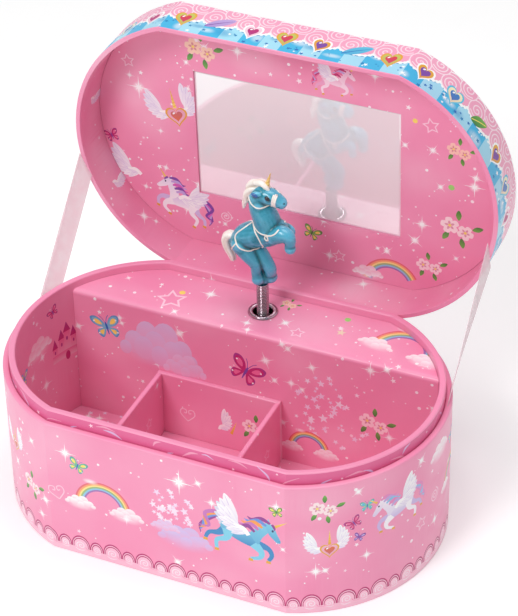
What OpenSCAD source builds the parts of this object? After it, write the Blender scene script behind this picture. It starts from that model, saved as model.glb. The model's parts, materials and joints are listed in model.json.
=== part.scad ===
// Musical jewellery box: an oval card box with a hinged mirror lid, a winding movement
// behind a raised platform, and a unicorn figurine that turns on a coil-spring spindle.
// Millimetres. The origin is the middle of the bottom face, +Z is up, the front faces -Y
// and the lid stands open behind the box.

/* [Box] */
// Length of the straight part of the front and back
straight_w = 120; // [100:1:140]
// Depth from front face to back face
depth = 138; // [130:1:146]
// How far each curved end stands out past the straight part
end_bulge = 49; // [40:1:54]
// Height of the outer wall
wall_h = 74; // [70:1:80]
// Thickness of the outer wall
wall_t = 3.2; // [2.5:0.1:4]
// Thickness of the inner liner
liner_t = 3.2; // [2.5:0.1:4]
// How far the liner stands above the outer wall
liner_rise = 6; // [4:0.5:8]
// Thickness of the bottom board
base_t = 2.5; // [2:0.1:4]

/* [Platform and dividers] */
// Height of the platform's top face
platform_z = 76; // [72:0.5:77]
// Distance of the platform's front face behind the box's middle
platform_y = 29; // [24:1:32]
// Thickness of the platform boards
board_t = 2; // [1.5:0.1:3]
// Height of the dividers' top edge
divider_z = 40; // [20:1:50]
// Left outer face of the divider
divider_x0 = -50; // [-60:1:-40]
// Right outer face of the divider
divider_x1 = 16; // [0:1:40]
// Thickness of the dividers
divider_t = 2.6; // [1.5:0.1:3.5]

/* [Lid] */
// Height of the lid, from its rim to its outer face
lid_h = 26; // [25:1:32]
// Thickness of the lid's wall and top board
lid_t = 2.4; // [1.8:0.1:2.6]
// Angle at which the ribbons stop the open lid
lid_open = 88; // [70:1:95]
// Width of the mirror
mirror_w = 107; // [90:1:112]
// Height of the mirror
mirror_h = 71; // [60:1:80]
// Width of the ribbon stays
ribbon_w = 10; // [6:1:12]

/* [Movement] */
// Sideways place of the spindle
spindle_x = -1.5; // [-3:0.5:3]
// Place of the spindle behind the box's middle
spindle_y = 47.4; // [47:0.1:48]
// Height of the winding arbor
arbor_z = 22; // [20:0.5:23]

/* [Hidden] */
$fn = 64;

pink = "hotpink";
pale_pink = "lightpink";

// Outline of the oval: two arcs that meet the straight sides at a crease
arc_r = (depth * depth / 4 + end_bulge * end_bulge) / (2 * end_bulge);
arc_c = straight_w / 2 + end_bulge - arc_r;
inside = wall_t + liner_t;
inner_y = depth / 2 - inside;
far = 300;

// Lid, drawn closed and then turned about the hinge line
hinge_y = depth / 2;
rim_gap = 0.3;
lid_top = wall_h + lid_h;
panel_t = 2;
mirror_t = 1.2;
mirror_x = -0.5;
mirror_y = 1.5;
cloth_t = 0.4;
cloth_gap = 0.6;
cloth_reach = 12;

// Ribbon stays: height and depth of each end, and their distance from the middle
ribbon_t = 0.3;
ribbon_low = [104.3, 20.5, 78.6];
ribbon_high = [104.6, 63.7, 117.2];

// Movement: the barrel's axis runs front to back, all other axes stand upright
bed_t = 2.6;
bed_y = inner_y - bed_t;
barrel_r = 13;
barrel_front = 50.6;
barrel_back = bed_y - 0.6;
shell_t = 1;
arbor_r = 2;
running = 0.06;
crown_r = 10;
crown_teeth = 32;
crown_w = 2;
crown_h = 1.3;
drive_teeth = 8;
drive_mod = 2 * crown_r / crown_teeth;
drive_z = arbor_z + crown_r - 0.8;
train_mod = 0.4;
wheel_teeth = 32;
governor_teeth = 24;
pinion_teeth = 8;
governor_x = spindle_x - train_mod * (wheel_teeth + pinion_teeth) / 2;
fan_x = governor_x - train_mod * (governor_teeth + pinion_teeth) / 2;
spindle_r = 1.2;
thin_r = 0.6;
plate_t = 1.5;
low_plate_z = 28.5;
high_plate_z = 62;
governor_z = 35.8;
wheel_z = 38;
wheel_t = 1.2;
cylinder_r = 6.5;
cylinder_z = 40.5;
cylinder_l = 20;
pin_h = 0.5;
comb_teeth = 18;
comb_t = 1.2;
comb_gap = 0.2;
comb_z = 41;
comb_l = 18.9;
screw_r = 1.5;
wall_screws = [[-17, 13], [26, 13], [26, 50]];

// Spindle and figurine; the figurine's own heights count from the platform
grommet_r = 7.5;
grommet_hole = 4.75;
grommet_neck = 5.5;
spring_r = 3;
spring_hole = 2.2;
spigot_top = platform_z + 3.5;
peg_low = 12.5;
sole = 17.6;

// ---------------------------------------------------------------- shared shapes

function crease_x(t) = arc_c + sqrt(pow(arc_r - t, 2) - pow(depth / 2 - t, 2));

// The oval outline, set in by t
module oval(t = 0) {
    intersection() {
        square([far, depth - 2 * t], center = true);
        union() {
            for (s = [-1, 1]) translate([s * arc_c, 0]) circle(arc_r - t, $fn = 180);
            square([2 * crease_x(t), depth - 2 * t], center = true);
        }
    }
}

module oval_ring(t0, t1, z0, z1) {
    translate([0, 0, z0]) linear_extrude(z1 - z0) difference() {
        oval(t0);
        oval(t1);
    }
}

module oval_board(t, z0, z1) {
    translate([0, 0, z0]) linear_extrude(z1 - z0) oval(t);
}

// A block given by its lowest and highest corners
module block(low, high) {
    translate(low) cube(high - low);
}

// A round bar along Y from y0 to y1 at height z
module bar_y(x, z, r, y0, y1) {
    translate([x, y1, z]) rotate([90, 0, 0]) cylinder(h = y1 - y0, r = r);
}

// A round bar along Z from z0 to z1
module bar_z(x, y, r, z0, z1) {
    translate([x, y, z0]) cylinder(h = z1 - z0, r = r);
}

module opened() {
    translate([0, hinge_y, wall_h]) rotate([-lid_open, 0, 0])
        translate([0, -hinge_y, -wall_h]) children();
}

// Spur gear with slim teeth, so that it runs with backlash; a tooth points along +X
module gear(teeth, mod, height, turn = 0) {
    r = teeth * mod / 2;
    foot = r - 1.15 * mod;
    tip = r + 0.9 * mod;
    linear_extrude(height) rotate(turn) {
        circle(foot);
        for (i = [0:teeth - 1]) rotate(i * 360 / teeth)
            polygon([[foot - 0.2, -0.7 * mod], [r, -0.52 * mod], [tip, -0.28 * mod],
                     [tip, 0.28 * mod], [r, 0.52 * mod], [foot - 0.2, 0.7 * mod]]);
    }
}

// ---------------------------------------------------------------- box

module base_panel() {
    color(pale_pink) oval_board(wall_t, 0, base_t);
}

module key_passage() {
    bar_y(spindle_x, arbor_z, 5, inner_y - 1, hinge_y + 1);
}

module wall_screw_holes() {
    for (p = wall_screws) bar_y(spindle_x + p[0], p[1], screw_r, bed_y - 1, hinge_y + 1);
}

module outer_wall() {
    color(pink) difference() {
        oval_ring(0, wall_t, 0, wall_h);
        key_passage();
        wall_screw_holes();
    }
}

module inner_liner() {
    color(pale_pink) difference() {
        oval_ring(wall_t, inside, base_t, wall_h + liner_rise);
        key_passage();
        wall_screw_holes();
    }
}

lining_z = base_t + 1;

module floor_lining() {
    color(pale_pink) oval_board(inside, base_t, lining_z);
}

module platform_top() {
    color(pale_pink) difference() {
        intersection() {
            oval_board(inside, platform_z - board_t, platform_z);
            block([-far, platform_y, 0], [far, far, far]);
        }
        bar_z(spindle_x, spindle_y, grommet_neck, platform_z - board_t - 1, platform_z + 1);
    }
}

module platform_front() {
    color(pink) intersection() {
        oval_board(inside, lining_z, platform_z - board_t);
        block([-far, platform_y, 0], [far, platform_y + board_t, far]);
    }
}

module divider_left() {
    color(pale_pink) block([divider_x0, -inner_y, lining_z],
                           [divider_x0 + divider_t, platform_y - divider_t, divider_z]);
}

module divider_back() {
    color(pale_pink) block([divider_x0, platform_y - divider_t, lining_z],
                           [divider_x1, platform_y, divider_z]);
}

module divider_right() {
    color(pale_pink) block([divider_x1 - divider_t, -inner_y, lining_z],
                           [divider_x1, platform_y - divider_t, divider_z]);
}

module spindle_grommet() {
    color("silver") translate([spindle_x, spindle_y, platform_z]) rotate_extrude() {
        difference() {
            union() {
                translate([grommet_hole, -3.2]) square([grommet_neck - grommet_hole, 3.3]);
                translate([grommet_hole + 1.1, 0]) circle(1.1, $fn = 24);
                translate([grommet_hole + 1.1, 0])
                    square([grommet_r - grommet_hole - 1.5, 1.1]);
                translate([grommet_r - 0.7, 0.4]) circle(0.7, $fn = 24);
            }
            translate([grommet_neck, -4]) square([5, 4]);
            translate([grommet_hole - 1, -0.001 - 4]) square([1, 8]);
        }
    }
}

module hinge_cloth_lower() {
    color(pink) block([-straight_w / 2 + 3, hinge_y, wall_h - cloth_reach],
                      [straight_w / 2 - 3, hinge_y + cloth_t, wall_h - cloth_gap]);
}

// Stay from the box's rim to the inside of the lid's end wall
module ribbon(side) {
    rise = ribbon_high - ribbon_low;
    lean = atan2(rise[1], rise[2]);
    color("mistyrose") mirror([side < 0 ? 1 : 0, 0, 0]) hull() {
        for (p = [ribbon_low, ribbon_high]) translate(p) rotate([-lean, 0, 0])
            cube([ribbon_t, ribbon_w, 0.2], center = true);
    }
}

module ribbon_left() { ribbon(-1); }

module ribbon_right() { ribbon(1); }

// ---------------------------------------------------------------- movement, fixed parts

module movement_bedplate() {
    color("goldenrod") difference() {
        block([spindle_x - 22, bed_y, 6], [spindle_x + 34, inner_y, high_plate_z + plate_t]);
        bar_y(spindle_x, arbor_z, arbor_r + running, bed_y - 1, inner_y + 1);
        wall_screw_holes();
    }
}

module movement_screws() {
    color("silver") for (p = wall_screws) {
        bar_y(spindle_x + p[0], p[1], screw_r, bed_y, hinge_y);
        translate([spindle_x + p[0], hinge_y, p[1]]) rotate([-90, 0, 0]) difference() {
            cylinder(h = 1.4, r1 = 3.2, r2 = 2.4);
            translate([-0.4, -4, 0.7]) cube([0.8, 8, 1]);
            translate([-4, -0.4, 0.7]) cube([8, 0.8, 1]);
        }
    }
}

comb_tip = spindle_x + cylinder_r + pin_h + comb_gap;
comb_root = spindle_x + 19;
comb_end = spindle_x + 30;
comb_screw_x = spindle_x + 25;
comb_screw_zs = [46, 56];
comb_front = spindle_y - comb_t / 2;

module comb_screw_holes() {
    for (z = comb_screw_zs) bar_y(comb_screw_x, z, 1.2, comb_front - 1, comb_front + 7);
}

module comb() {
    pitch = comb_l / comb_teeth;
    color("lightgray") difference() {
        block([comb_tip, comb_front, comb_z],
              [comb_end, comb_front + comb_t, comb_z + comb_l]);
        for (i = [1:comb_teeth - 1])
            translate([comb_tip - 1, comb_front - 1, comb_z + i * pitch - 0.16])
                cube([comb_root - comb_tip + 1 - 0.25 * i, comb_t + 2, 0.32]);
        comb_screw_holes();
    }
}

module comb_bracket() {
    color("goldenrod") difference() {
        block([comb_root + 1, comb_front + comb_t, comb_z],
              [comb_end, bed_y, comb_z + comb_l]);
        comb_screw_holes();
    }
}

module comb_screws() {
    color("silver") for (z = comb_screw_zs) {
        bar_y(comb_screw_x, z, 1.2, comb_front, comb_front + 7);
        difference() {
            bar_y(comb_screw_x, z, 2.1, comb_front - 1.3, comb_front);
            block([comb_screw_x - 3, comb_front - 2, z - 0.35],
                  [comb_screw_x + 3, comb_front - 0.7, z + 0.35]);
        }
    }
}

module bearing_holes(z) {
    for (b = [[spindle_x, spindle_r], [governor_x, thin_r], [fan_x, thin_r]])
        bar_z(b[0], spindle_y, b[1] + running, z - 1, z + plate_t + 1);
}

// The lower plate reaches back past the side of the spring barrel
module lower_bearing_plate() {
    color("goldenrod") difference() {
        union() {
            block([spindle_x - 22, spindle_y - 5, low_plate_z],
                  [spindle_x + 8, spindle_y + 1.4, low_plate_z + plate_t]);
            block([spindle_x - 22, spindle_y, low_plate_z],
                  [spindle_x - barrel_r - 0.7, bed_y, low_plate_z + plate_t]);
        }
        bearing_holes(low_plate_z);
    }
}

module upper_bearing_plate() {
    color("goldenrod") difference() {
        block([spindle_x - 22, spindle_y - 5, high_plate_z],
              [spindle_x + 8, bed_y, high_plate_z + plate_t]);
        bearing_holes(high_plate_z);
    }
}

// ---------------------------------------------------------------- lid

module lid_wall() {
    color(pink) opened() oval_ring(0, lid_t, wall_h + rim_gap, lid_top);
}

module lid_top_panel() {
    color(pink) opened() oval_board(lid_t, lid_top - lid_t, lid_top);
}

module lid_inner_panel() {
    color(pale_pink) opened() difference() {
        oval_board(lid_t, lid_top - lid_t - panel_t, lid_top - lid_t);
        translate([mirror_x, mirror_y, lid_top]) cube([mirror_w, mirror_h, 20], center = true);
    }
}

module lid_mirror() {
    color("lightblue") opened()
        translate([mirror_x, mirror_y, lid_top - lid_t - mirror_t / 2])
            cube([mirror_w, mirror_h, mirror_t], center = true);
}

module hinge_cloth_upper() {
    color(pink) opened()
        block([-straight_w / 2 + 3, hinge_y, wall_h + cloth_gap],
              [straight_w / 2 - 3, hinge_y + cloth_t, wall_h + cloth_reach]);
}

// ---------------------------------------------------------------- winding

key_y0 = hinge_y + 2;
key_y1 = key_y0 + 12;

module winding_key() {
    color("silver") difference() {
        union() {
            bar_y(spindle_x, arbor_z, 4, key_y0, key_y1);
            for (s = [-1, 1]) hull() {
                translate([spindle_x + s * 2, 0, arbor_z])
                    block([-1, key_y0 + 5, -1.2], [1, key_y1, 1.2]);
                bar_y(spindle_x + s * 9, arbor_z, 1.2, key_y0 + 5, key_y1 + 3);
                bar_y(spindle_x + s * 11, arbor_z, 1.2, key_y0 + 7, key_y1 + 1);
            }
        }
        bar_y(spindle_x, arbor_z, arbor_r, key_y0 - 1, key_y1 - 3);
    }
}

module winding_arbor() {
    color("silver") {
        bar_y(spindle_x, arbor_z, arbor_r, barrel_front - 0.3, key_y1 - 3);
    }
}

// ---------------------------------------------------------------- spring barrel

module crown_tooth() {
    translate([0, 0, crown_r - crown_w / 2]) linear_extrude(crown_w)
        polygon([[-0.55, 0.1], [-0.25, -crown_h], [0.25, -crown_h], [0.55, 0.1]]);
}

module spring_barrel() {
    color("gold") difference() {
        union() {
            bar_y(spindle_x, arbor_z, barrel_r, barrel_front, barrel_back);
            for (i = [0:crown_teeth - 1])
                translate([spindle_x, barrel_front, arbor_z])
                    rotate([0, i * 360 / crown_teeth, 0]) crown_tooth();
        }
        bar_y(spindle_x, arbor_z, barrel_r - shell_t, barrel_front + shell_t, barrel_back + 1);
        bar_y(spindle_x, arbor_z, arbor_r + running, barrel_front - 1, barrel_back + 1);
    }
}

module barrel_cap() {
    color("gold") difference() {
        bar_y(spindle_x, arbor_z, barrel_r - shell_t, barrel_back - shell_t, barrel_back);
        bar_y(spindle_x, arbor_z, arbor_r + running, barrel_back - 2, barrel_back + 1);
    }
}

spiral_turns = 4;
spiral_r0 = 2.5;
spiral_step = (barrel_r - shell_t - 0.6 - spiral_r0) / spiral_turns;

function spiral(a, off) = (spiral_r0 + off + spiral_step * a / 360) * [cos(a), sin(a)];

module mainspring() {
    last = 360 * spiral_turns;
    color("slategray") translate([spindle_x, barrel_back - shell_t - 0.4, arbor_z])
        rotate([90, 0, 0]) linear_extrude(barrel_back - barrel_front - 2 * shell_t - 0.8)
            polygon(concat([for (a = [0:20:last]) spiral(a, 0)],
                           [for (a = [last:-20:0]) spiral(a, 0.4)]));
}

// ---------------------------------------------------------------- music cylinder

// Pins in rows, one row a tooth, spread round the cylinder by a fixed step
module music_cylinder() {
    color("goldenrod") translate([spindle_x, spindle_y, cylinder_z]) difference() {
        union() {
            cylinder(h = cylinder_l, r = cylinder_r);
            for (i = [0:comb_teeth - 1], k = [0, 1])
                translate([0, 0, (i + 0.5) * comb_l / comb_teeth + comb_z - cylinder_z])
                    rotate([0, 0, 137.5 * i + 173 * k]) rotate([0, 90, 0])
                        cylinder(h = cylinder_r + pin_h, r = 0.25, $fn = 16);
        }
        translate([0, 0, -1]) cylinder(h = cylinder_l + 2, r = spindle_r);
    }
}

module cylinder_arbor() {
    color("silver") {
        bar_z(spindle_x, spindle_y, spindle_r, low_plate_z + 0.2, high_plate_z + 2);
        bar_z(spindle_x, spindle_y, spring_hole - 0.2, high_plate_z + 2, spigot_top);
        translate([spindle_x, spindle_y, drive_z])
            gear(drive_teeth, drive_mod, 1.6, 180 / drive_teeth);
    }
}

module cylinder_wheel() {
    color("gold") translate([spindle_x, spindle_y, wheel_z]) difference() {
        gear(wheel_teeth, train_mod, wheel_t);
        translate([0, 0, -1]) cylinder(h = wheel_t + 2, r = spindle_r);
    }
}

// ---------------------------------------------------------------- governor

module governor_wheel() {
    color("gold") translate([governor_x, spindle_y, governor_z]) difference() {
        gear(governor_teeth, train_mod, wheel_t);
        translate([0, 0, -1]) cylinder(h = wheel_t + 2, r = thin_r);
    }
}

module thin_arbor(x, pinion_z) {
    bar_z(x, spindle_y, thin_r, low_plate_z + 0.2, high_plate_z + plate_t - 0.2);
    translate([x, spindle_y, pinion_z]) gear(pinion_teeth, train_mod, 1.6, 180 / pinion_teeth);
}

module governor_arbor() {
    color("silver") thin_arbor(governor_x, wheel_z - 0.2);
}

module fan_arbor() {
    color("silver") thin_arbor(fan_x, governor_z - 0.2);
}

module fan_blades() {
    color("lightgray") difference() {
        union() {
            block([fan_x - 4.5, spindle_y - 0.3, 44], [fan_x + 4.5, spindle_y + 0.3, 58]);
            bar_z(fan_x, spindle_y, 1.2, 43, 59);
        }
        bar_z(fan_x, spindle_y, thin_r, 42, 60);
    }
}

// ---------------------------------------------------------------- spindle and figurine

module spindle_spring() {
    color("silver") translate([spindle_x, spindle_y, 0]) difference() {
        translate([0, 0, high_plate_z + 3])
            cylinder(h = platform_z + sole - 0.1 - high_plate_z - 3, r = spring_r);
        translate([0, 0, high_plate_z]) cylinder(h = 40, r = spring_hole);
    }
}

module on_spindle() {
    translate([spindle_x, spindle_y, platform_z]) children();
}

// A tapering limb with round ends
module limb(a, ra, b, rb) {
    hull() {
        translate(a) sphere(ra, $fn = 14);
        translate(b) sphere(rb, $fn = 14);
    }
}

module hind_quarters(g) {
    limb([-4, 0, 20.6], 3.4 + g, [5.6, 0, 20.6], 3.4 + g);
    limb([-6, -2.6, 37], 4.4 + g, [-3.4, -2.6, 24], 3 + g);
    limb([-2, 2.4, 38], 4.8 + g, [5.8, 2.4, 24], 3 + g);
}

module torso(g) {
    limb([-10, 0, 42.6], 6.4 + g, [0, 0, 44.2], 6.6 + g);
    limb([0, 0, 44.2], 6.6 + g, [7.4, 0, 47.6], 6.2 + g);
    limb([4, 0, 51], 6.6 + g, [0.4, 0, 63], 4.8 + g);
}

module head(g) {
    limb([0, 0, 66.8], 4.8 + g, [10.8, 0, 64.6], 2.9 + g);
}

module fore_legs(g) {
    limb([9, -3.4, 47.4], 3.4 + g, [16.8, -3.6, 46], 2.7 + g);
    limb([16.8, -3.6, 46], 2.7 + g, [17, -3.6, 35.8], 2.1 + g);
    limb([8, 3.4, 45], 3.4 + g, [14.6, 3.8, 41.6], 2.6 + g);
    limb([14.6, 3.8, 41.6], 2.6 + g, [10, 3.8, 36.2], 2 + g);
}

// The whole animal grown by g, standing on a flat sole
module animal(g = 0) {
    difference() {
        union() {
            hind_quarters(g);
            torso(g);
            head(g);
            fore_legs(g);
        }
        translate([-20, -20, 0]) cube([40, 40, sole]);
    }
}

module unicorn_body() {
    color("mediumturquoise") on_spindle() animal();
}

module unicorn_mane() {
    color("ivory") on_spindle() difference() {
        union() {
            limb([1, 0, 72], 1.8, [-3, 0, 72], 2.5);
            limb([-3, 0, 72], 2.5, [-6.2, 0, 65], 2.6);
            limb([-6.2, 0, 65], 2.6, [-5.6, 0, 55], 1.6);
        }
        animal();
        horn_cone(0.05);
    }
}

module unicorn_tail() {
    color("ivory") on_spindle() difference() {
        union() {
            limb([-15.6, 0, 45], 2, [-19.4, 0, 42.4], 2);
            limb([-19.4, 0, 42.4], 2, [-16, 0, 30.6], 1.5);
        }
        animal();
    }
}

module horn_cone(g = 0) {
    translate([3.4, 0, 70.4]) rotate([0, 12, 0]) cylinder(h = 11.2, r1 = 1.5 + g, r2 = 0.2 + g);
}

module unicorn_horn() {
    color("gold") on_spindle() difference() {
        horn_cone();
        animal();
    }
}

strap_h = 0.3;
strap_w = 1.1;

// A thin slab that cuts one strap out of the grown body
module strap_slab(place, turn) {
    translate(place) rotate(turn) cube([strap_w, 30, 22], center = true);
}

module unicorn_harness() {
    color("ivory") on_spindle() difference() {
        union() {
            intersection() {
                head(strap_h);
                strap_slab([7.8, 0, 65], [0, 10, 0]);
            }
            intersection() {
                torso(strap_h);
                union() {
                    strap_slab([4.6, 0, 52], [0, 84, 0]);
                    strap_slab([-1.4, 0, 42], [0, 6, 0]);
                }
            }
        }
        animal();
    }
}

module unicorn_peg() {
    color("silver") on_spindle()
        translate([0, 0, peg_low]) cylinder(h = sole - peg_low, r = spring_hole - 0.2);
}

base_panel();
outer_wall();
inner_liner();
floor_lining();
platform_top();
platform_front();
divider_left();
divider_back();
divider_right();
spindle_grommet();
hinge_cloth_lower();
ribbon_left();
ribbon_right();
movement_bedplate();
movement_screws();
comb();
comb_bracket();
comb_screws();
lower_bearing_plate();
upper_bearing_plate();
lid_wall();
lid_top_panel();
lid_inner_panel();
lid_mirror();
hinge_cloth_upper();
winding_key();
winding_arbor();
spring_barrel();
barrel_cap();
mainspring();
music_cylinder();
cylinder_arbor();
cylinder_wheel();
governor_wheel();
governor_arbor();
fan_blades();
fan_arbor();
spindle_spring();
unicorn_body();
unicorn_mane();
unicorn_tail();
unicorn_horn();
unicorn_harness();
unicorn_peg();
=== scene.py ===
"""Looks of a musical jewellery box: printed card, ribbons, a sprung spindle and a painted unicorn.

Builders work in millimetres, in the frame of the CAD model, and meshes are scaled to metres
as they are made. Printed card is made as one surface: the prints' outlines are cut into the
surface itself, and each triangle is coloured by the prints that cover it.
"""
import json
import random
from math import atan2, ceil, cos, hypot, pi, radians, sin, sqrt, tan

import bmesh
import bpy
import numpy as np
from mathutils import Matrix, Vector
from mathutils.bvhtree import BVHTree
from mathutils.geometry import delaunay_2d_cdt


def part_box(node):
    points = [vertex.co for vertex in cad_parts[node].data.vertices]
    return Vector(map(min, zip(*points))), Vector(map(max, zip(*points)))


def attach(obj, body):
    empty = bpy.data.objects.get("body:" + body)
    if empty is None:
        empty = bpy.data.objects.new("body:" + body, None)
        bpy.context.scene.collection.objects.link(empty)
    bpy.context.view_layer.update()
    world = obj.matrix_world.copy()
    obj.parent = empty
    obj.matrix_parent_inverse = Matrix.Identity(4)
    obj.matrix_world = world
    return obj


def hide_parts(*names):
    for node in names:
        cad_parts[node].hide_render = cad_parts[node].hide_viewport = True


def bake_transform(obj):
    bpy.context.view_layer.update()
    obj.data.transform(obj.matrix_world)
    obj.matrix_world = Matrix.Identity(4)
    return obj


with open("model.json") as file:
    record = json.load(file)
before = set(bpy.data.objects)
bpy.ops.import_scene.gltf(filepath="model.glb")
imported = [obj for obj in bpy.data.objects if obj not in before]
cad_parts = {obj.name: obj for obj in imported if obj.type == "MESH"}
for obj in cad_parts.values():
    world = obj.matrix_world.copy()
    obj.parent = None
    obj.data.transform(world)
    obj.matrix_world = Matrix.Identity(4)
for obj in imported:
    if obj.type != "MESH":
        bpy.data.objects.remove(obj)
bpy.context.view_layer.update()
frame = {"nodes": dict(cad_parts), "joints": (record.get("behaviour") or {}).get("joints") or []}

MM = 0.001
SIDES = (-1, 1)


def mm_box(node):
    low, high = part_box(node)
    return [c / MM for c in low], [c / MM for c in high]


# ------------------------------------------------------------------ sizes, mm

wall_low, wall_high = mm_box("outer_wall")
liner_low, liner_high = mm_box("inner_liner")
floor_low, floor_high = mm_box("floor_lining")
front_low, front_high = mm_box("platform_front")
STRAIGHT = 120
DEPTH = wall_high[1] - wall_low[1]
BULGE = (wall_high[0] - wall_low[0] - STRAIGHT) / 2
WALL_TOP = wall_high[2]
LINER_LOW, LINER_TOP = liner_low[2], liner_high[2]
WALL_IN = wall_high[1] - liner_high[1]
LINER_IN = wall_high[1] - floor_high[1]
FLOOR_LOW, FLOOR_TOP = floor_low[2], floor_high[2]
PLATFORM_TOP = mm_box("platform_top")[1][2]
PLATFORM_Y = front_low[1]
BOARD = PLATFORM_TOP - front_high[2]
ARC_R = (DEPTH ** 2 / 4 + BULGE ** 2) / (2 * BULGE)
ARC_C = STRAIGHT / 2 + BULGE - ARC_R
EDGE_ROUND = 0.9

LID_T = 2.4
LID_RIM = WALL_TOP + 0.3
LID_TOP = WALL_TOP + 26
LID_PANEL = 2
HINGE_Y, HINGE_Z = DEPTH / 2, WALL_TOP
LID_OPEN = radians(frame["joints"][0]["range_deg"][1])

neck = next(j for j in frame["joints"] if j["name"] == "figure_fold")["pos_m"]
SPINDLE = Vector((neck[0] / MM, neck[1] / MM, PLATFORM_TOP))
NECK_R = 5.5
KEY_LOW, KEY_HIGH = mm_box("winding_key")
ARBOR_Z = (KEY_LOW[2] + KEY_HIGH[2]) / 2


def opened(p):
    """Points of the closed lid, turned to where the open lid has them."""
    p = np.asarray(p, dtype=float)
    y, z = p[..., 1] - HINGE_Y, p[..., 2] - HINGE_Z
    c, s = cos(LID_OPEN), sin(LID_OPEN)
    return np.stack([p[..., 0], HINGE_Y + y * c + z * s, HINGE_Z - y * s + z * c], -1)


def opened_way(n):
    hinge = (0, HINGE_Y, HINGE_Z)
    return opened(np.asarray(n) + hinge) - hinge


# ------------------------------------------------------------------ colours

def rgb(r, g, b):
    """A linear colour from 0-255 sRGB values."""
    return tuple(v / 3294.6 if v <= 10 else ((v / 255 + 0.055) / 1.055) ** 2.4 for v in (r, g, b))


PINK = rgb(245, 153, 188)
PALE_PINK = rgb(252, 196, 216)
MIST = rgb(255, 214, 230)
ROSE = rgb(236, 112, 162)
MAGENTA = rgb(196, 40, 116)
WHITE = rgb(255, 255, 255)
GOLD = rgb(232, 170, 60)
SKY = rgb(96, 196, 228)
DEEP_BLUE = rgb(38, 112, 190)
LILAC = rgb(196, 170, 226)
PURPLE = rgb(128, 74, 168)
LEAF = rgb(120, 180, 80)
YELLOW = rgb(252, 226, 110)
ORANGE = rgb(246, 150, 60)
RED = rgb(226, 60, 70)
MINT = rgb(130, 206, 178)


def mix(a, b, t):
    return tuple(x + (y - x) * t for x, y in zip(a, b))


# ------------------------------------------------------------------ curves in the plane

def smooth(points, *, steps, closed=False):
    """A Catmull-Rom curve through the points."""
    n = len(points)
    out = []
    for i in range(n if closed else n - 1):
        if closed:
            p = [points[(i + k - 1) % n] for k in range(4)]
        else:
            p = [points[min(max(i + k - 1, 0), n - 1)] for k in range(4)]
        for j in range(steps):
            t = j / steps
            out.append(tuple(
                0.5 * (2 * b + (c - a) * t + (2 * a - 5 * b + 4 * c - d) * t * t
                       + (3 * b - a - 3 * c + d) * t ** 3)
                for a, b, c, d in zip(*p)))
    if not closed:
        out.append(tuple(points[-1]))
    return out


def ring(x, y, rx, ry=None, *, n, turn=0.0):
    """An ellipse of n points."""
    ry = rx if ry is None else ry
    c, s = cos(turn), sin(turn)
    out = []
    for i in range(n):
        a = 2 * pi * i / n
        u, v = rx * cos(a), ry * sin(a)
        out.append((x + u * c - v * s, y + u * s + v * c))
    return out


def ribbon_shape(points, widths, steps):
    """The outline of a tapering stroke along a curve."""
    path = smooth([(*p, w) for p, w in zip(points, widths)], steps=steps)
    left, right = [], []
    for i, (x, y, w) in enumerate(path):
        a, b = path[max(i - 1, 0)], path[min(i + 1, len(path) - 1)]
        dx, dy = b[0] - a[0], b[1] - a[1]
        d = hypot(dx, dy) or 1.0
        left.append((x - dy / d * w / 2, y + dx / d * w / 2))
        right.append((x + dy / d * w / 2, y - dx / d * w / 2))
    return left + right[::-1]


# ------------------------------------------------------------------ printed sheets

class Ink:
    """The prints on one sheet, in the order in which they cover each other."""

    def __init__(self, paper=PINK):
        self.paper = paper
        self.shapes = []
        self.points = []

    def at(self, x, y, size=1.0, turn=0.0, flip=1, tall=1.0):
        return Pen(self, x, y, size, radians(turn), flip, tall)

    def colours(self, verts, tris):
        """A colour for each corner of each triangle."""
        corners = verts[tris]
        middle = corners.mean(axis=1)
        order = np.argsort(middle[:, 0])
        along = middle[order, 0]
        out = np.empty((len(tris), 3, 3))
        out[:] = self.paper
        for outline, colour, fade in self.shapes:
            low, high = outline.min(axis=0), outline.max(axis=0)
            first, last = np.searchsorted(along, (low[0], high[0]))
            near = order[first:last]
            near = near[(middle[near, 1] > low[1]) & (middle[near, 1] < high[1])]
            if not len(near):
                continue
            covered = near[inside(middle[near], outline)]
            if not len(covered):
                continue
            at = corners[covered]
            tint, strength = colour(at) if callable(colour) else (np.array(colour), 1.0)
            if fade is not None:
                strength = strength * fade(at)[..., None]
            out[covered] += (tint - out[covered]) * strength
        return out


def inside(points, outline):
    """Which points lie inside a closed outline, by the even-odd rule."""
    a, b = outline, np.roll(outline, -1, axis=0)
    x, y = points[:, :1], points[:, 1:]
    cross = (a[:, 1] > y) != (b[:, 1] > y)
    rise = b[:, 1] - a[:, 1]
    run = a[:, 0] + (y - a[:, 1]) * (b[:, 0] - a[:, 0]) / np.where(rise == 0, 1.0, rise)
    return (cross & (x < run)).sum(axis=1) % 2 == 1


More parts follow.
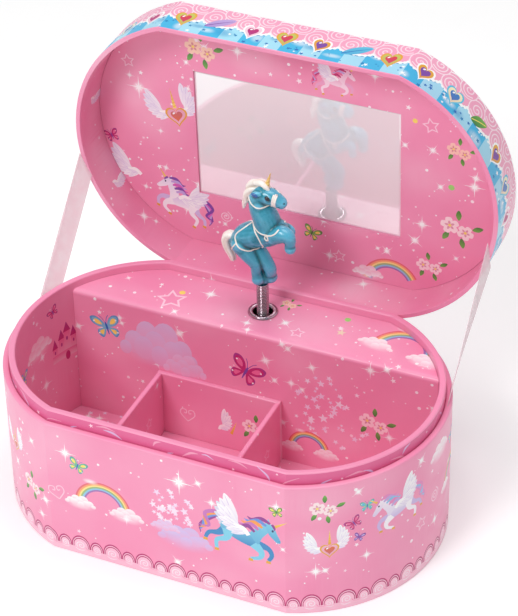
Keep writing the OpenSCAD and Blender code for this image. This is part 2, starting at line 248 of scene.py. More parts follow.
class Pen:
    """Draws in its own coordinates: placed, sized, turned and perhaps mirrored on a sheet."""

    def __init__(self, ink, x, y, size, turn, flip, tall):
        self.ink, self.place, self.tall = ink, (x, y), tall
        self.size, self.turn, self.flip = size, turn, flip

    def sheet(self, points):
        c, s = cos(self.turn), sin(self.turn)
        out = []
        for p in points:
            x, y = p[0] * self.size * self.flip, p[1] * self.size
            out.append((self.place[0] + x * c - y * s,
                        self.place[1] + self.tall * (x * s + y * c)))
        return np.array(out)

    def at(self, x, y, size=1.0, turn=0.0, flip=1):
        (u, v), = self.sheet([(x, y)])
        return Pen(self.ink, u, v, self.size * size,
                   self.turn + radians(turn) * self.flip, self.flip * flip, self.tall)

    def fill(self, points, colour, low=None):
        """Fills an outline; with low, the colour runs into low towards its bottom."""
        outline = self.sheet(points)
        paint = colour
        if low is not None:
            foot, top = outline[:, 1].min(), outline[:, 1].max()
            a, b = np.array(low), np.array(colour)

            def paint(at):
                t = np.clip((at[..., 1] - foot) / (top - foot), 0, 1)[..., None]
                return a + (b - a) * t, 1.0
        self.ink.shapes.append((outline, paint, None))

    def blob(self, points, colour, low=None, steps=4):
        """Fills a smooth closed outline through the points."""
        self.fill(smooth(points, closed=True, steps=steps), colour, low)

    def box(self, x0, y0, x1, y1, colour, low=None):
        self.fill([(x0, y0), (x1, y0), (x1, y1), (x0, y1)], colour, low)

    def line(self, points, widths, colour, steps=5):
        if not isinstance(widths, (list, tuple)):
            widths = [widths] * len(points)
        self.fill(ribbon_shape(points, widths, steps), colour)

    def dot(self, x, y, r, colour, n=10):
        self.fill(ring(x, y, r, n=n), colour)

    def glow(self, x, y, rx, ry, colour, strength):
        """A soft patch that fades out towards its rim."""
        outline = self.sheet(ring(x, y, rx, ry, n=24))
        (cx, cy), = self.sheet([(x, y)])
        ax, ay = rx * self.size, ry * self.size
        c, s = cos(self.turn), sin(self.turn)

        def fade(at):
            u, v = at[..., 0] - cx, at[..., 1] - cy
            d = ((u * c + v * s) / ax) ** 2 + ((v * c - u * s) / ay) ** 2
            return strength * np.clip(1 - d, 0, 1) ** 1.5

        self.ink.shapes.append((outline, colour, fade))
        for part in (0.3, 0.55, 0.8):
            self.ink.points += [tuple(p) for p in
                                self.sheet(ring(x, y, rx * part, ry * part, n=14))]
        self.ink.points.append((cx, cy))


# ------------------------------------------------------------------ prints

def star_shape(r, points=5, inner=0.42, turn=90):
    out = []
    for i in range(2 * points):
        a = radians(turn + 180 * i / points)
        q = r if i % 2 == 0 else r * inner
        out.append((q * cos(a), q * sin(a)))
    return out


def star(pen, r, colour):
    pen.fill(star_shape(r), colour)


def outline_star(pen, r, line=MIST):
    pen.fill(star_shape(r, inner=0.5), line)
    pen.fill(star_shape(r * 0.72, inner=0.5), PINK)


def sparkle(pen, r):
    pen.glow(0, 0, r * 0.6, r * 0.6, WHITE, 0.8)
    pen.fill(star_shape(r * 0.4, points=4, inner=0.3, turn=45), WHITE)
    pen.fill(star_shape(r * 1.2, points=4, inner=0.07), WHITE)


def star_cloud(pen, w, h, count, seed):
    """Stars thrown over an oval, larger towards its middle."""
    rng = random.Random(seed)
    for _ in range(count):
        a, d = rng.uniform(0, 2 * pi), sqrt(rng.random())
        p = pen.at(w / 2 * d * cos(a), h / 2 * d * sin(a), turn=rng.uniform(0, 70))
        star(p, rng.uniform(0.9, 2.5) * (1.3 - 0.5 * d), mix(rgb(244, 214, 240), WHITE, rng.random() * 0.5))


def heart_shape(w):
    k = w / 32
    out = []
    for i in range(28):
        t = 2 * pi * i / 28
        out.append((16 * k * sin(t) ** 3, k * (13 * cos(t) - 5 * cos(2 * t)
                                                  - 2 * cos(3 * t) - cos(4 * t))))
    return out


def heart(pen, w, core, rim, edge):
    pen.fill(heart_shape(w * 1.22), edge)
    pen.fill(heart_shape(w), rim, mix(rim, MAGENTA, 0.25))
    pen.fill(heart_shape(w * 0.66), core, mix(core, PURPLE, 0.3))
    pen.fill(ring(-w * 0.14, w * 0.14, w * 0.09, w * 0.05, n=10, turn=0.6), WHITE)


UPPER_WING = [(0.2, 0.2), (1.1, 2.4), (3.0, 3.9), (4.7, 3.6), (4.6, 1.9), (3.2, 0.5), (1.2, -0.1)]
LOWER_WING = [(0.2, 0.0), (1.6, -0.3), (3.3, -0.9), (3.5, -2.4), (2.3, -3.6), (1.2, -2.6)]


def butterfly(pen, outer, patch, body=PURPLE):
    for side in SIDES:
        half = pen.at(0, 0, flip=side)
        for wing in (LOWER_WING, UPPER_WING):
            half.blob(wing, mix(outer, body, 0.45))
            half.fill([(0.25 + 0.88 * (x - 0.25), 0.88 * y)
                       for x, y in smooth(wing, closed=True, steps=4)], outer)
            cx, cy = np.mean(wing, axis=0)
            half.fill([(cx + (x - cx) * 0.5, cy + (y - cy) * 0.5)
                       for x, y in smooth(wing, closed=True, steps=3)], patch)
            half.dot(cx + 1.1, cy * 1.25, 0.28, WHITE, n=8)
        half.line([(0.1, 1.2), (0.7, 2.9), (1.6, 4.0)], 0.18, body, steps=3)
    pen.line([(0, 1.6), (0, 0), (0, -2.6)], [0.5, 0.75, 0.2], body, steps=3)


def flower(pen, r, petal):
    for i in range(5):
        a = pen.at(0, 0, turn=90 + 72 * i)
        shape = [(r * 0.12, 0), (r * 0.45, r * 0.36), (r * 0.88, r * 0.3), (r * 0.96, 0),
                 (r * 0.88, -r * 0.3), (r * 0.45, -r * 0.36)]
        a.blob(shape, petal)
        a.blob([(r * 0.1, 0), (r * 0.3, r * 0.14), (r * 0.55, 0), (r * 0.3, -r * 0.14)],
               mix(petal, MAGENTA, 0.55), steps=3)
    pen.dot(0, 0, r * 0.17, YELLOW)


def flowers(pen, r, petal=rgb(255, 226, 230)):
    r *= 1.45
    for x, y, turn in ((-0.9, -0.5, 240), (0.4, -1.0, 280), (1.5, 0.2, 20), (0.1, 1.0, 90)):
        leaf = pen.at(x * r, y * r, turn=turn)
        leaf.blob([(0, 0), (r * 0.6, r * 0.3), (r * 1.2, 0), (r * 0.6, -r * 0.3)],
                  LEAF, rgb(70, 130, 60), steps=3)
    flower(pen.at(-r * 0.8, r * 0.25, turn=10), r, petal)
    flower(pen.at(r * 0.8, -r * 0.3, turn=40), r * 0.9, petal)


def cloud(pen, w, colour=WHITE, strength=0.9):
    """A heap of round lobes, each bright on top and fading into the paper below."""
    pen.glow(0, -0.06 * w, 0.62 * w, 0.26 * w, colour, strength * 0.7)
    for x, y, r in ((-0.16, 0.14, 0.17), (0.12, 0.15, 0.19), (-0.36, 0.02, 0.15), (0.36, 0.03, 0.15),
                    (-0.04, 0.05, 0.17), (0.22, 0, 0.15), (-0.22, -0.02, 0.15), (0.5, -0.06, 0.09),
                    (-0.5, -0.06, 0.09), (0.02, -0.07, 0.13)):
        pen.fill(ring(x * w, y * w, r * w, r * w * 0.86, n=18), mix(colour, PINK, 0.25 - 0.2 * strength),
                 mix(colour, PINK, 0.62))


BANDS = [mix(c, MIST, 0.18) for c in (RED, ORANGE, YELLOW, LEAF, SKY, PURPLE)]


def rainbow(pen, r, start=0, end=180):
    thick = r * 0.36 / len(BANDS)
    for i, colour in enumerate(BANDS):
        r0, r1 = r - thick * i, r - thick * (i + 1.02)
        angles = [radians(start + (end - start) * k / 30) for k in range(31)]
        pen.fill([(r0 * cos(a), r0 * sin(a)) for a in angles]
                 + [(r1 * cos(a), r1 * sin(a)) for a in angles[::-1]], colour)


def cloudy_rainbow(pen, r):
    rainbow(pen, r)
    cloud(pen.at(-r * 0.82, -r * 0.05), r * 0.95)
    cloud(pen.at(r * 0.84, -r * 0.08), r * 1.05)
    pen.glow(-r * 0.4, r * 0.95, r * 0.3, r * 0.12, WHITE, 0.7)


def feather(pen, length, colour, vein=None):
    w = length * 0.15
    pen.blob([(0, 0), (length * 0.3, w), (length * 0.75, w * 0.9), (length, 0),
              (length * 0.7, -w * 0.8), (length * 0.3, -w * 0.8)],
             colour, mix(colour, vein or LILAC, 0.35))
    pen.line([(0, 0), (length * 0.5, w * 0.1), (length * 0.93, 0)],
             [length * 0.035, length * 0.025, length * 0.01], vein or mix(colour, LILAC, 0.7), steps=3)


def wing(pen, length, colour=WHITE):
    """Two rows of feathers that fan out from a curved arm."""
    for row, (count, reach) in enumerate(((8, 1.0), (7, 0.62))):
        for i in range(count):
            t = i / (count - 1)
            root = pen.at(length * 0.3 * (1 - t), length * (0.1 + 0.13 * (1 - t) ** 2),
                          turn=78 - 92 * t - 8 * row)
            feather(root, length * reach * (0.98 - 0.5 * t), mix(colour, LILAC, 0.12 * (i % 2)))
    pen.line([(0, 0), (length * 0.12, length * 0.2), (length * 0.36, length * 0.27)],
             [length * 0.12, length * 0.12, length * 0.05], colour)


def spiral(pen, r, colour=MIST, turns=2.2, width=None):
    points = []
    for i in range(15):
        reach, a = r * (0.08 + 0.92 * i / 14), 2 * pi * turns * i / 14
        points.append((reach * cos(a), reach * sin(a)))
    pen.line(points, width or r * 0.16, colour, steps=4)


def spiral_heart(pen, r, colour):
    half = [(0, -1), (0.95, 0), (0.8, 0.75), (0.2, 0.7), (0.2, 0.2), (0.5, 0.3)]
    for side in SIDES:
        pen.line([(side * r * x, r * y) for x, y in half], r * 0.13, colour, steps=4)


def winged_heart(pen, w):
    """A heart between two wings, with a slim gold horn above it."""
    for side in SIDES:
        wing(pen.at(side * w * 0.3, -w * 0.05, turn=12, flip=side), w * 1.5)
    horn(pen.at(0, w * 0.42), w * 1.15)
    heart(pen, w, mix(RED, GOLD, 0.35), mix(ROSE, WHITE, 0.4), GOLD)


def horn(pen, length):
    pen.fill([(-length * 0.09, 0), (length * 0.09, 0), (0, length)], YELLOW, GOLD)
    for i in range(5):
        y = length * (0.08 + 0.17 * i)
        k = 0.09 * length * (1 - y / length)
        pen.line([(-k, y), (k, y + length * 0.05)], length * 0.025, mix(GOLD, ORANGE, 0.6), steps=1)


def castle(pen, h):
    pale, shadow = mix(ROSE, WHITE, 0.45), mix(MAGENTA, PURPLE, 0.3)
    for x, w, top in ((-0.5, 0.2, 0.5), (0.5, 0.2, 0.55), (-0.22, 0.22, 0.72), (0.24, 0.2, 0.66),
                      (0, 0.24, 0.9)):
        pen.box((x - w / 2) * h, 0, (x + w / 2) * h, top * h, pale, ROSE)
        pen.fill([((x - w * 0.62) * h, top * h), ((x + w * 0.62) * h, top * h),
                  (x * h, (top + 0.34) * h)], MAGENTA, shadow)
        pen.fill(ring(x * h, top * 0.72 * h, w * 0.16 * h, w * 0.3 * h, n=10), shadow)
    pen.box(-0.62 * h, 0, 0.62 * h, 0.26 * h, pale, ROSE)
    pen.fill(ring(0, 0.04 * h, 0.09 * h, 0.16 * h, n=12), MAGENTA)


def pony(pen, coat, shade, hair):
    """A cantering winged pony with a horn, about 24 units long, facing +X."""
    for k in range(4):
        pen.line([(-6.4, 2.4), (-9.4, 3.4 + 0.5 * k), (-12.2 - 0.4 * k, 0.8 * k - 0.4),
                  (-13.6 + 0.9 * k, -3.6 + 0.5 * k), (-12.6 - 0.6 * k, -6.6 + k)],
                 [1.3, 1.5, 1.3, 1.0, 0.15], hair[k % len(hair)])
    legs = (
        (shade, [(-5.4, 0.6), (-7.4, -2.8), (-10.2, -4.6), (-10.8, -7.4)]),
        (shade, [(4.2, 0), (8.4, 0.5), (10.4, -1.4), (10.0, -4.2)]),
        (coat, [(-5, 0), (-4.6, -3.4), (-7.2, -6), (-6.4, -9.2)]),
        (coat, [(4, -0.4), (7, -2.2), (7.2, -4.6), (4.6, -6.6)]))
    for colour, path in legs[:2]:
        pen.line(path, [3.6, 2.2, 1.5, 1.2], colour)
    wing(pen.at(0.6, 2.2, turn=38, flip=-1), 10.5, mix(WHITE, shade, 0.25))
    body = [(5.6, 1.2), (4.4, 3.7), (0, 3.2), (-4, 3.9), (-7.4, 2.4), (-7.4, -0.4), (-4.2, -1.6),
            (0, -2.2), (4.4, -1.7)]
    pen.blob(body, coat, shade)
    for colour, path in legs[2:]:
        pen.line(path, [3.8, 2.3, 1.5, 1.2], colour)
    for _, path in legs:
        pen.line([path[-1], (path[-1][0] + 0.3, path[-1][1] - 1)], [1.3, 1.7], GOLD, steps=2)
    pen.blob([(1.8, 3), (3.6, 7), (5.4, 9.8), (7.6, 9.2), (7, 6.6), (5.8, 3.4), (5.2, 0.2)],
             coat, mix(coat, shade, 0.5))
    pen.blob([(5.2, 9.9), (7.6, 10.2), (9.8, 7.6), (11.6, 5.4), (10.8, 4.4), (9.2, 5), (7, 6.4)],
             coat, mix(coat, shade, 0.6))
    pen.fill([(5.4, 9.9), (5.6, 12), (6.8, 10.2)], coat)
    pen.fill([(7.3, 9.9), (8.3, 9.2), (11.4, 14)], YELLOW, GOLD)
    pen.fill(ring(8.1, 8.1, 0.36, 0.5, n=8), rgb(50, 40, 90))
    pen.dot(11, 5.4, 0.18, shade, n=6)
    for k in range(5):
        pen.line([(6.6 - 0.9 * k, 10.3 - 1.5 * k), (3.6 - 0.8 * k, 10.6 - 1.3 * k),
                  (1 - 0.6 * k, 8.6 - 1.2 * k), (-0.8 - 0.7 * k, 9 - 1.4 * k)],
                 [0.9, 1.5, 1.2, 0.15], hair[k % len(hair)])
    pen.line([(7.2, 10.4), (8.2, 9.6), (8.6, 8.6)], [0.9, 0.9, 0.2], hair[0])
    wing(pen.at(1.6, 1.8, turn=22, flip=-1), 12.5)


PALE_COAT = (rgb(250, 246, 252), rgb(206, 186, 232))
CANDY_HAIR = (rgb(232, 140, 196), LILAC, rgb(140, 200, 236))


def scatter(ink, x0, x1, y0, y1, count, seed):
    """Small white dots and stars, thrown over a sheet."""
    rng = random.Random(seed)
    for _ in range(count):
        x, y = rng.uniform(x0, x1), rng.uniform(y0, y1)
        r = rng.uniform(0.25, 0.6) if rng.random() < 0.85 else rng.uniform(0.7, 1.0)
        pen = ink.at(x, y, turn=rng.uniform(0, 60))
        kind = rng.random()
        if kind < 0.12:
            sparkle(pen, rng.uniform(2.2, 4.6))
        elif kind < 0.4:
            star(pen, r * 1.8, mix(MIST, WHITE, rng.random()))
        else:
            pen.dot(0, 0, r, mix(MIST, WHITE, rng.random()), n=8)


def glows(ink, x0, x1, y0, y1, count, seed, strength=0.16):
    """Broad soft light and dark patches under the prints."""
    rng = random.Random(seed)
    for k in range(count):
        colour = (MIST, ROSE)[k % 2]
        ink.at(rng.uniform(x0, x1), rng.uniform(y0, y1)).glow(
            0, 0, rng.uniform(14, 26), rng.uniform(10, 18), colour, strength)


def lace(ink, x0, x1, y0, high, count):
    """A scalloped lace band that stands on y0: scallops of two widths, each edged by three
    lines and filled with a curl."""
    dark, pale, swirl = rgb(190, 44, 112), rgb(253, 196, 217), rgb(255, 238, 245)
    flat = ink.at(0, 0)
    pair = (x1 - x0) / count
    wide = pair * 0.58
    tops = []
    for i in range(-1, count + 1):
        tops.append((x0 + pair * i + wide / 2, wide / 2, high))
        tops.append((x0 + pair * i + wide + (pair - wide) / 2, (pair - wide) / 2, high * 0.86))
    for inset, colour in ((0.0, dark), (0.9, MIST), (1.4, dark), (2.1, pale)):
        for x, w, h in tops:
            arch = [(x + (w - inset * 0.6) * cos(pi * k / 14),
                     y0 + h * 0.45 + (h * 0.55 - inset) * sin(pi * k / 14))
                    for k in range(15)]
            flat.fill([(x + w - inset * 0.6, y0 - 1), *arch, (x - w + inset * 0.6, y0 - 1)], colour)
    flat.box(x0 - pair, y0 - 1, x1 + pair, y0 + high * 0.34, pale)
    for i in range(count):
        for k, (x, w, h) in enumerate(tops[2 * i + 2:2 * i + 4]):
            pen = ink.at(x, y0 + h * 0.46, size=w * 0.5, flip=1 - 2 * k)
            spiral(pen, 1.0, swirl, turns=1.6, width=0.17)
            pen.line([(1.0, -0.2), (1.3, -0.7), (2.0, -0.9)], [0.18, 0.16, 0.1], mix(pale, ROSE, 0.6))
            pen.line([(-1.2, -0.9), (-0.3, -1.25), (0.8, -1.0)], [0.12, 0.2, 0.1], swirl)


# ------------------------------------------------------------------ printed card surfaces

class Oval:
    """The box's outline, set in by some distance, walked from the middle of the back."""

    def __init__(self, inset):
        self.half = DEPTH / 2 - inset
        self.radius = ARC_R - inset
        self.crease = ARC_C + np.sqrt(self.radius ** 2 - self.half ** 2)
        self.swing = np.arcsin(self.half / self.radius)
        arc = 2 * self.swing * self.radius
        self.legs = [self.crease, arc, 2 * self.crease, arc, self.crease]
        self.starts = [0.0]
        for leg in self.legs:
            self.starts.append(self.starts[-1] + leg)
        self.length = self.starts[-1]

    def spot(self, leg, f):
        """Points at fraction f of a leg, and the ways out of the oval there."""
        leg, f = np.asarray(leg), np.asarray(f)
        side = np.where(leg == 1, -1.0, 1.0)
        a = (2 * f - 1) * self.swing + np.where(leg == 1, pi, 0.0)
        back = np.where(leg == 2, -1.0, 1.0)
        flat_x = np.select([leg == 0, leg == 2], [-f, 2 * f - 1], 1 - f) * self.crease
        bent = (leg == 1) | (leg == 3)
        x = np.where(bent, side * ARC_C + self.radius * np.cos(a), flat_x)
        y = np.where(bent, self.radius * np.sin(a), back * self.half)
        return (x, y), (np.where(bent, np.cos(a), 0.0), np.where(bent, np.sin(a), back))

    def walk(self, s):
        """The point at a distance s round the oval."""
        leg = min(int(np.searchsorted(self.starts, s, side="right")) - 1, 4)
        (x, y), _ = self.spot(leg, (s - self.starts[leg]) / self.legs[leg])
        return float(x), float(y)

    def at_front(self, x):
        return self.starts[2] + self.crease + x

    def at_back(self, x):
        return self.starts[0] - x if x <= 0 else self.length - x

    def at_end(self, side, degrees):
        """Along the left (-1) or right (1) end; degrees count from the end's middle, towards +Y."""
        a = radians(degrees) * self.radius
        leg = 2 + side
        return self.starts[leg] + self.legs[leg] / 2 + (a if side > 0 else -a)


def bow(cx, cy, r, start, end, steps=4):
    """Points on an arc, in degrees, with the way out of it."""
    out = []
    for k in range(steps + 1):
        a = radians(start + (end - start) * k / steps)
        out.append((cx + r * cos(a), cy + r * sin(a), cos(a), sin(a)))
    return out


class Section:
    """A card's closed cross-section with rounded edges: (inset, height) by the distance v round
    it, from the foot of the outer face, up, over the rim and down the inner face."""

    def __init__(self, t0, t1, z0, z1, r=EDGE_ROUND, foot=0.4):
        rim = bow(t0 + r, z1 - r, r, 180, 90) + bow(t1 - r, z1 - r, r, 90, 0)
        base = (bow(t1 - foot, z0 + foot, foot, 0, -90, 2)
                + bow(t0 + foot, z0 + foot, foot, -90, -180, 2))
        self.points = np.array(base[-1:] + rim + base)
        steps = np.linalg.norm(np.diff(self.points[:, :2], axis=0), axis=1)
        self.v = np.concatenate([[0.0], np.cumsum(steps)])
        self.length = self.v[-1]
        self.foot_z = z0 + foot
        self.inner_v = self.v[len(rim)]
        self.inner_z = z1 - r

    def outer(self, z):
        return z - self.foot_z

    def inner(self, z):
        return self.inner_v + self.inner_z - z

    def spot(self, v, middle):
        """(inset, height, out, up) at each v, on the stretch that holds its middle."""
        i = np.clip(np.searchsorted(self.v, middle) - 1, 0, len(self.v) - 2)
        f = ((v - self.v[i]) / (self.v[i + 1] - self.v[i]))[..., None]
        return np.moveaxis(self.points[i] * (1 - f) + self.points[i + 1] * f, -1, 0)


def triangulate(loops, ink, lines):
    """Cuts a flat domain, given by its outline and its holes, along the prints and lines."""
    verts, edges = [], []

    def add(outline, closed):
        n, k = len(verts), len(outline)
        verts.extend(Vector((float(p[0]), float(p[1]))) for p in outline)
        edges.extend((n + i, n + (i + 1) % k) for i in range(k if closed else k - 1))

    for outline in loops:
        add(outline, True)
    for outline, _, _ in ink.shapes:
        add(outline, True)
    for line in lines:
        add(line, False)
    verts.extend(Vector(p) for p in ink.points)
    flat, _, faces, _, _, _ = delaunay_2d_cdt(verts, edges, [], 0, 1e-4)
    flat = np.array([tuple(p) for p in flat])
    tris = np.array([tuple(f) for f in faces])
    middle = flat[tris].mean(axis=1)
    hits = np.zeros(len(tris), dtype=int)
    for outline in loops:
        hits += inside(middle, np.array([tuple(p) for p in outline]))
    return flat, tris[hits % 2 == 1]


def unit(vectors):
    return vectors / np.maximum(np.linalg.norm(vectors, axis=-1, keepdims=True), 1e-9)


def linked(name, data):
    """Makes an object of some data and links it into the scene."""
    obj = bpy.data.objects.new(name, data)
    bpy.context.collection.objects.link(obj)
    return obj


def dressed(name, mesh, material):
    """Makes a smooth-shaded object of a mesh."""
    mesh.materials.append(material)
    mesh.shade_smooth()
    return linked(name, mesh)


def stands_for(piece, body, *nodes):
    """Hides CAD nodes behind a piece, which moves with their body."""
    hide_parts(*nodes)
    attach(piece, body)


def solid(name, corners, normals, colours, material):
    """One welded mesh from triangles given corner by corner, in millimetres."""
    corners, normals, colours = (np.concatenate(parts) for parts in (corners, normals, colours))
    edge, other = corners[:, 1] - corners[:, 0], corners[:, 2] - corners[:, 0]
    wrong = (np.cross(edge, other) * normals[:, 0]).sum(axis=1) < 0
    for data in (corners, normals, colours):
        data[wrong] = data[wrong][:, ::-1]
    # a whole number for each corner, from its place to a quarter of a micron
    place = np.round(corners.reshape(-1, 3) * 4000).astype(np.int64)
    code = (place[:, 0] << 42) + (place[:, 1] << 21) + place[:, 2]
    _, first, faces = np.unique(code, return_index=True, return_inverse=True)
    faces = faces.reshape(-1, 3)
    keep = (faces != np.roll(faces, 1, axis=1)).all(axis=1)
    mesh = bpy.data.meshes.new(name)
    mesh.from_pydata((corners.reshape(-1, 3)[first] * MM).tolist(), [], faces[keep].tolist())
    layer = mesh.color_attributes.new("print", "FLOAT_COLOR", "CORNER")
    paint = colours[keep].reshape(-1, 3)
    layer.data.foreach_set("color", np.hstack([paint, np.ones((len(paint), 1))]).ravel())
    obj = dressed(name, mesh, material)
    mesh.normals_split_custom_set(normals[keep].reshape(-1, 3).tolist())
    return obj


def plain_paint(count, colour):
    """One colour for every corner of some triangles."""
    return np.tile(colour, (count, 3, 1))


def printed_skin(length, section, cuts, ink, place, holes=()):
    """The skin of a card strip, as the parts that solid() takes: laid out flat, cut across at
    the distances in cuts, and put in place by place(points, middles)."""
    domain = [[(0, 0), (length, 0), (length, section.length), (0, section.length)], *holes]
    lines = [[(0, v), (length, v)] for v in section.v[1:-1]]
    lines += [[(s, 0), (s, section.length)] for s in cuts]
    flat, tris = triangulate(domain, ink, lines)
    at, way = place(flat[tris], flat[tris].mean(axis=1, keepdims=True))
    return [at], [way], [ink.colours(flat, tris)]


def card_wall(name, section, ref, ink, material, holes=(), lid=False):
    """A card strip bent round the oval. Each hole, (x, z, radius), goes through the back."""
    rims = []
    for x, z, r in holes:
        s = ref.at_back(x)
        pair = []
        for v, turn in ((section.outer(z), 1), (section.inner(z), -1)):
            pair.append([(s - r * cos(2 * pi * k / 20),
                          v + turn * r * sin(2 * pi * k / 20)) for k in range(20)])
        rims.append(pair)
    cuts = []
    for leg in range(5):
        step = 2.4 if leg in (1, 3) else 12
        count = ceil(ref.legs[leg] / step)
        cuts += [ref.starts[leg] + ref.legs[leg] * k / count for k in range(0 if leg else 1, count)]

    def place(points, middles):
        inset, z, out, up = section.spot(points[..., 1], middles[..., 1])
        leg = np.searchsorted(ref.starts[1:5], middles[..., 0], side="right")
        f = (points[..., 0] - np.take(ref.starts, leg)) / np.take(ref.legs, leg)
        (x, y), (way_x, way_y) = Oval(inset).spot(leg, f)
        at, way = np.stack([x, y, z], -1), np.stack([-out * way_x, -out * way_y, up], -1)
        return (opened(at), opened_way(way)) if lid else (at, way)

    loops = [loop for pair in rims for loop in pair]
    corners, normals, paint = printed_skin(ref.length, section, cuts, ink, place, loops)
    for pair in rims:
        a, c = (place(np.array(loop), np.array(loop))[0] for loop in pair)
        b, d = np.roll(a, -1, axis=0), np.roll(c, -1, axis=0)
        tube = np.concatenate([np.stack([a, b, c], 1), np.stack([b, d, c], 1)])
        corners.append(tube)
        normals.append(unit((a.mean(axis=0) - tube) * (1, 0, 1)))
        paint.append(plain_paint(len(tube), ink.paper))
    return solid(name, corners, normals, paint, material)


def board(name, loops, ink, material, place, thick, lines):
    """A flat or bent board. place(points, middles, depth) gives the positions of points of the
    printed sheet, depth below its face, and the normals there."""
    flat, tris = triangulate(loops, ink, lines)
    middles = flat[tris].mean(axis=1, keepdims=True)
    front, way = place(flat[tris], middles, 0.0)
    back, _ = place(flat[tris], middles, thick)
    sides = np.sort(tris[:, [[0, 1], [1, 2], [2, 0]]], axis=-1)
    _, index, count = np.unique((sides[..., 0] * len(flat) + sides[..., 1]).ravel(),
                                return_index=True, return_counts=True)
    tri, k = np.divmod(index[count == 1], 3)
    a, b, c, d = front[tri, k], front[tri, (k + 1) % 3], back[tri, k], back[tri, (k + 1) % 3]
    rim = np.concatenate([np.stack([a, c, b], 1), np.stack([b, c, d], 1)])
    out = np.cross(rim[:, 1] - rim[:, 0], rim[:, 2] - rim[:, 0])
    outward = np.tile((a + b) / 2 - front[tri].mean(axis=1), (2, 1))
    out = unit(out * np.sign((out * outward).sum(axis=1, keepdims=True)))
    return solid(name, [front, back, rim], [way, -way, np.repeat(out[:, None], 3, axis=1)],
                 [ink.colours(flat, tris), plain_paint(len(tris), ink.paper),
                  plain_paint(len(rim), ink.paper)], material)


# ------------------------------------------------------------------ materials

class Finish:
    """A Principled material with helpers for procedural detail, in metres of object space."""

    def __init__(self, name, **values):
        self.mat = bpy.data.materials.new(name)
        self.mat.use_nodes = True
        self.tree = self.mat.node_tree
        self.shader = self.tree.nodes["Principled BSDF"]
        for key, value in values.items():
            socket = self.shader.inputs[key.replace("_", " ")]
            socket.default_value = (*value, 1) if isinstance(value, tuple) else value
        self.coords = self.tree.nodes.new("ShaderNodeTexCoord").outputs["Object"]

    def node(self, kind, **values):
        n = self.tree.nodes.new(kind)
        for key, value in values.items():
            if hasattr(n, key):
                setattr(n, key, value)
            else:
                n.inputs[key.replace("_", " ")].default_value = value
        return n

    def link(self, a, b):
        self.tree.links.new(a, b)

    def stretched(self, scale, turn=(0, 0, 0)):
        m = self.node("ShaderNodeMapping")
        m.inputs["Scale"].default_value = scale
        m.inputs["Rotation"].default_value = turn
        self.link(self.coords, m.inputs["Vector"])
        return m.outputs["Vector"]

    def noise(self, scale, detail, coords=None):
        n = self.node("ShaderNodeTexNoise", Scale=scale, Detail=detail)
        self.link(coords or self.coords, n.inputs["Vector"])
        return n.outputs["Fac"]

    def spread(self, fac, low, high):
        """Spreads a noise's middle range over low to high."""
        n = self.node("ShaderNodeMapRange")
        for key, value in (("From Min", 0.3), ("From Max", 0.7), ("To Min", low), ("To Max", high)):
            n.inputs[key].default_value = value
        self.link(fac, n.inputs["Value"])
        return n.outputs["Result"]

    def attribute(self, name):
        return self.node("ShaderNodeAttribute", attribute_name=name)

    def blend(self, fac, a, b, mode="MIX"):
        n = self.node("ShaderNodeMix", data_type="RGBA", blend_type=mode)
        for key, value in (("Factor", fac), ("A", a), ("B", b)):
            socket = next(i for i in n.inputs if i.name == key and i.enabled
                          and i.type == ("VALUE" if key == "Factor" else "RGBA"))
            if isinstance(value, bpy.types.NodeSocket):
                self.link(value, socket)
            else:
                socket.default_value = (*value, 1) if isinstance(value, tuple) else value
        return next(o for o in n.outputs if o.type == "RGBA")

    def base(self, colour):
        self.link(colour, self.shader.inputs["Base Color"])

    def mottle(self, scale, detail, colour, other):
        """Patches of two colours."""
        self.base(self.blend(self.spread(self.noise(scale, detail), 0, 1), colour, other))

    def roughness(self, fac, low, high):
        self.link(self.spread(fac, low, high), self.shader.inputs["Roughness"])

    def bump(self, *layers):
        """Each layer is (height, strength, distance in metres)."""
        normal = None
        for height, strength, distance in layers:
            b = self.node("ShaderNodeBump", Strength=strength, Distance=distance)
            self.link(height, b.inputs["Height"])
            if normal:
                self.link(normal, b.inputs["Normal"])
            normal = b.outputs["Normal"]
        self.link(normal, self.shader.inputs["Normal"])


def printed_paper(name):
    """Laminated printed paper over card: the print, faint mottling, fibres and a soft sheen."""
    f = Finish(name, Coat_Weight=0.22, Coat_Roughness=0.22, Specular_IOR_Level=0.4)
    cloudy = f.node("ShaderNodeCombineColor")
    for key, (low, high) in (("Red", (0.985, 1.0)), ("Green", (0.9, 1.06)), ("Blue", (0.94, 1.03))):
        f.link(f.spread(f.noise(24, 4), low, high), cloudy.inputs[key])
    f.base(f.blend(1.0, f.attribute("print").outputs["Color"], cloudy.outputs[0], "MULTIPLY"))
    f.roughness(f.noise(140, 3), 0.3, 0.46)
    f.bump((f.noise(26, 2), 0.25, 0.0006), (f.noise(1400, 4), 0.12, 0.0002))
    return f.mat


def metal(name, colour, roughness, grain=(1, 1, 1), tint=None):
    """Metal with a streaky finish; grain stretches the streaks."""
    f = Finish(name, Metallic=1.0)
    streaks = f.noise(420, 4, f.stretched(grain))
    f.mottle(90, 3, colour, tint or mix(colour, WHITE, 0.25))
    f.roughness(streaks, roughness * 0.75, roughness * 1.35)
    f.bump((streaks, 0.05, 0.0002))
    return f.mat


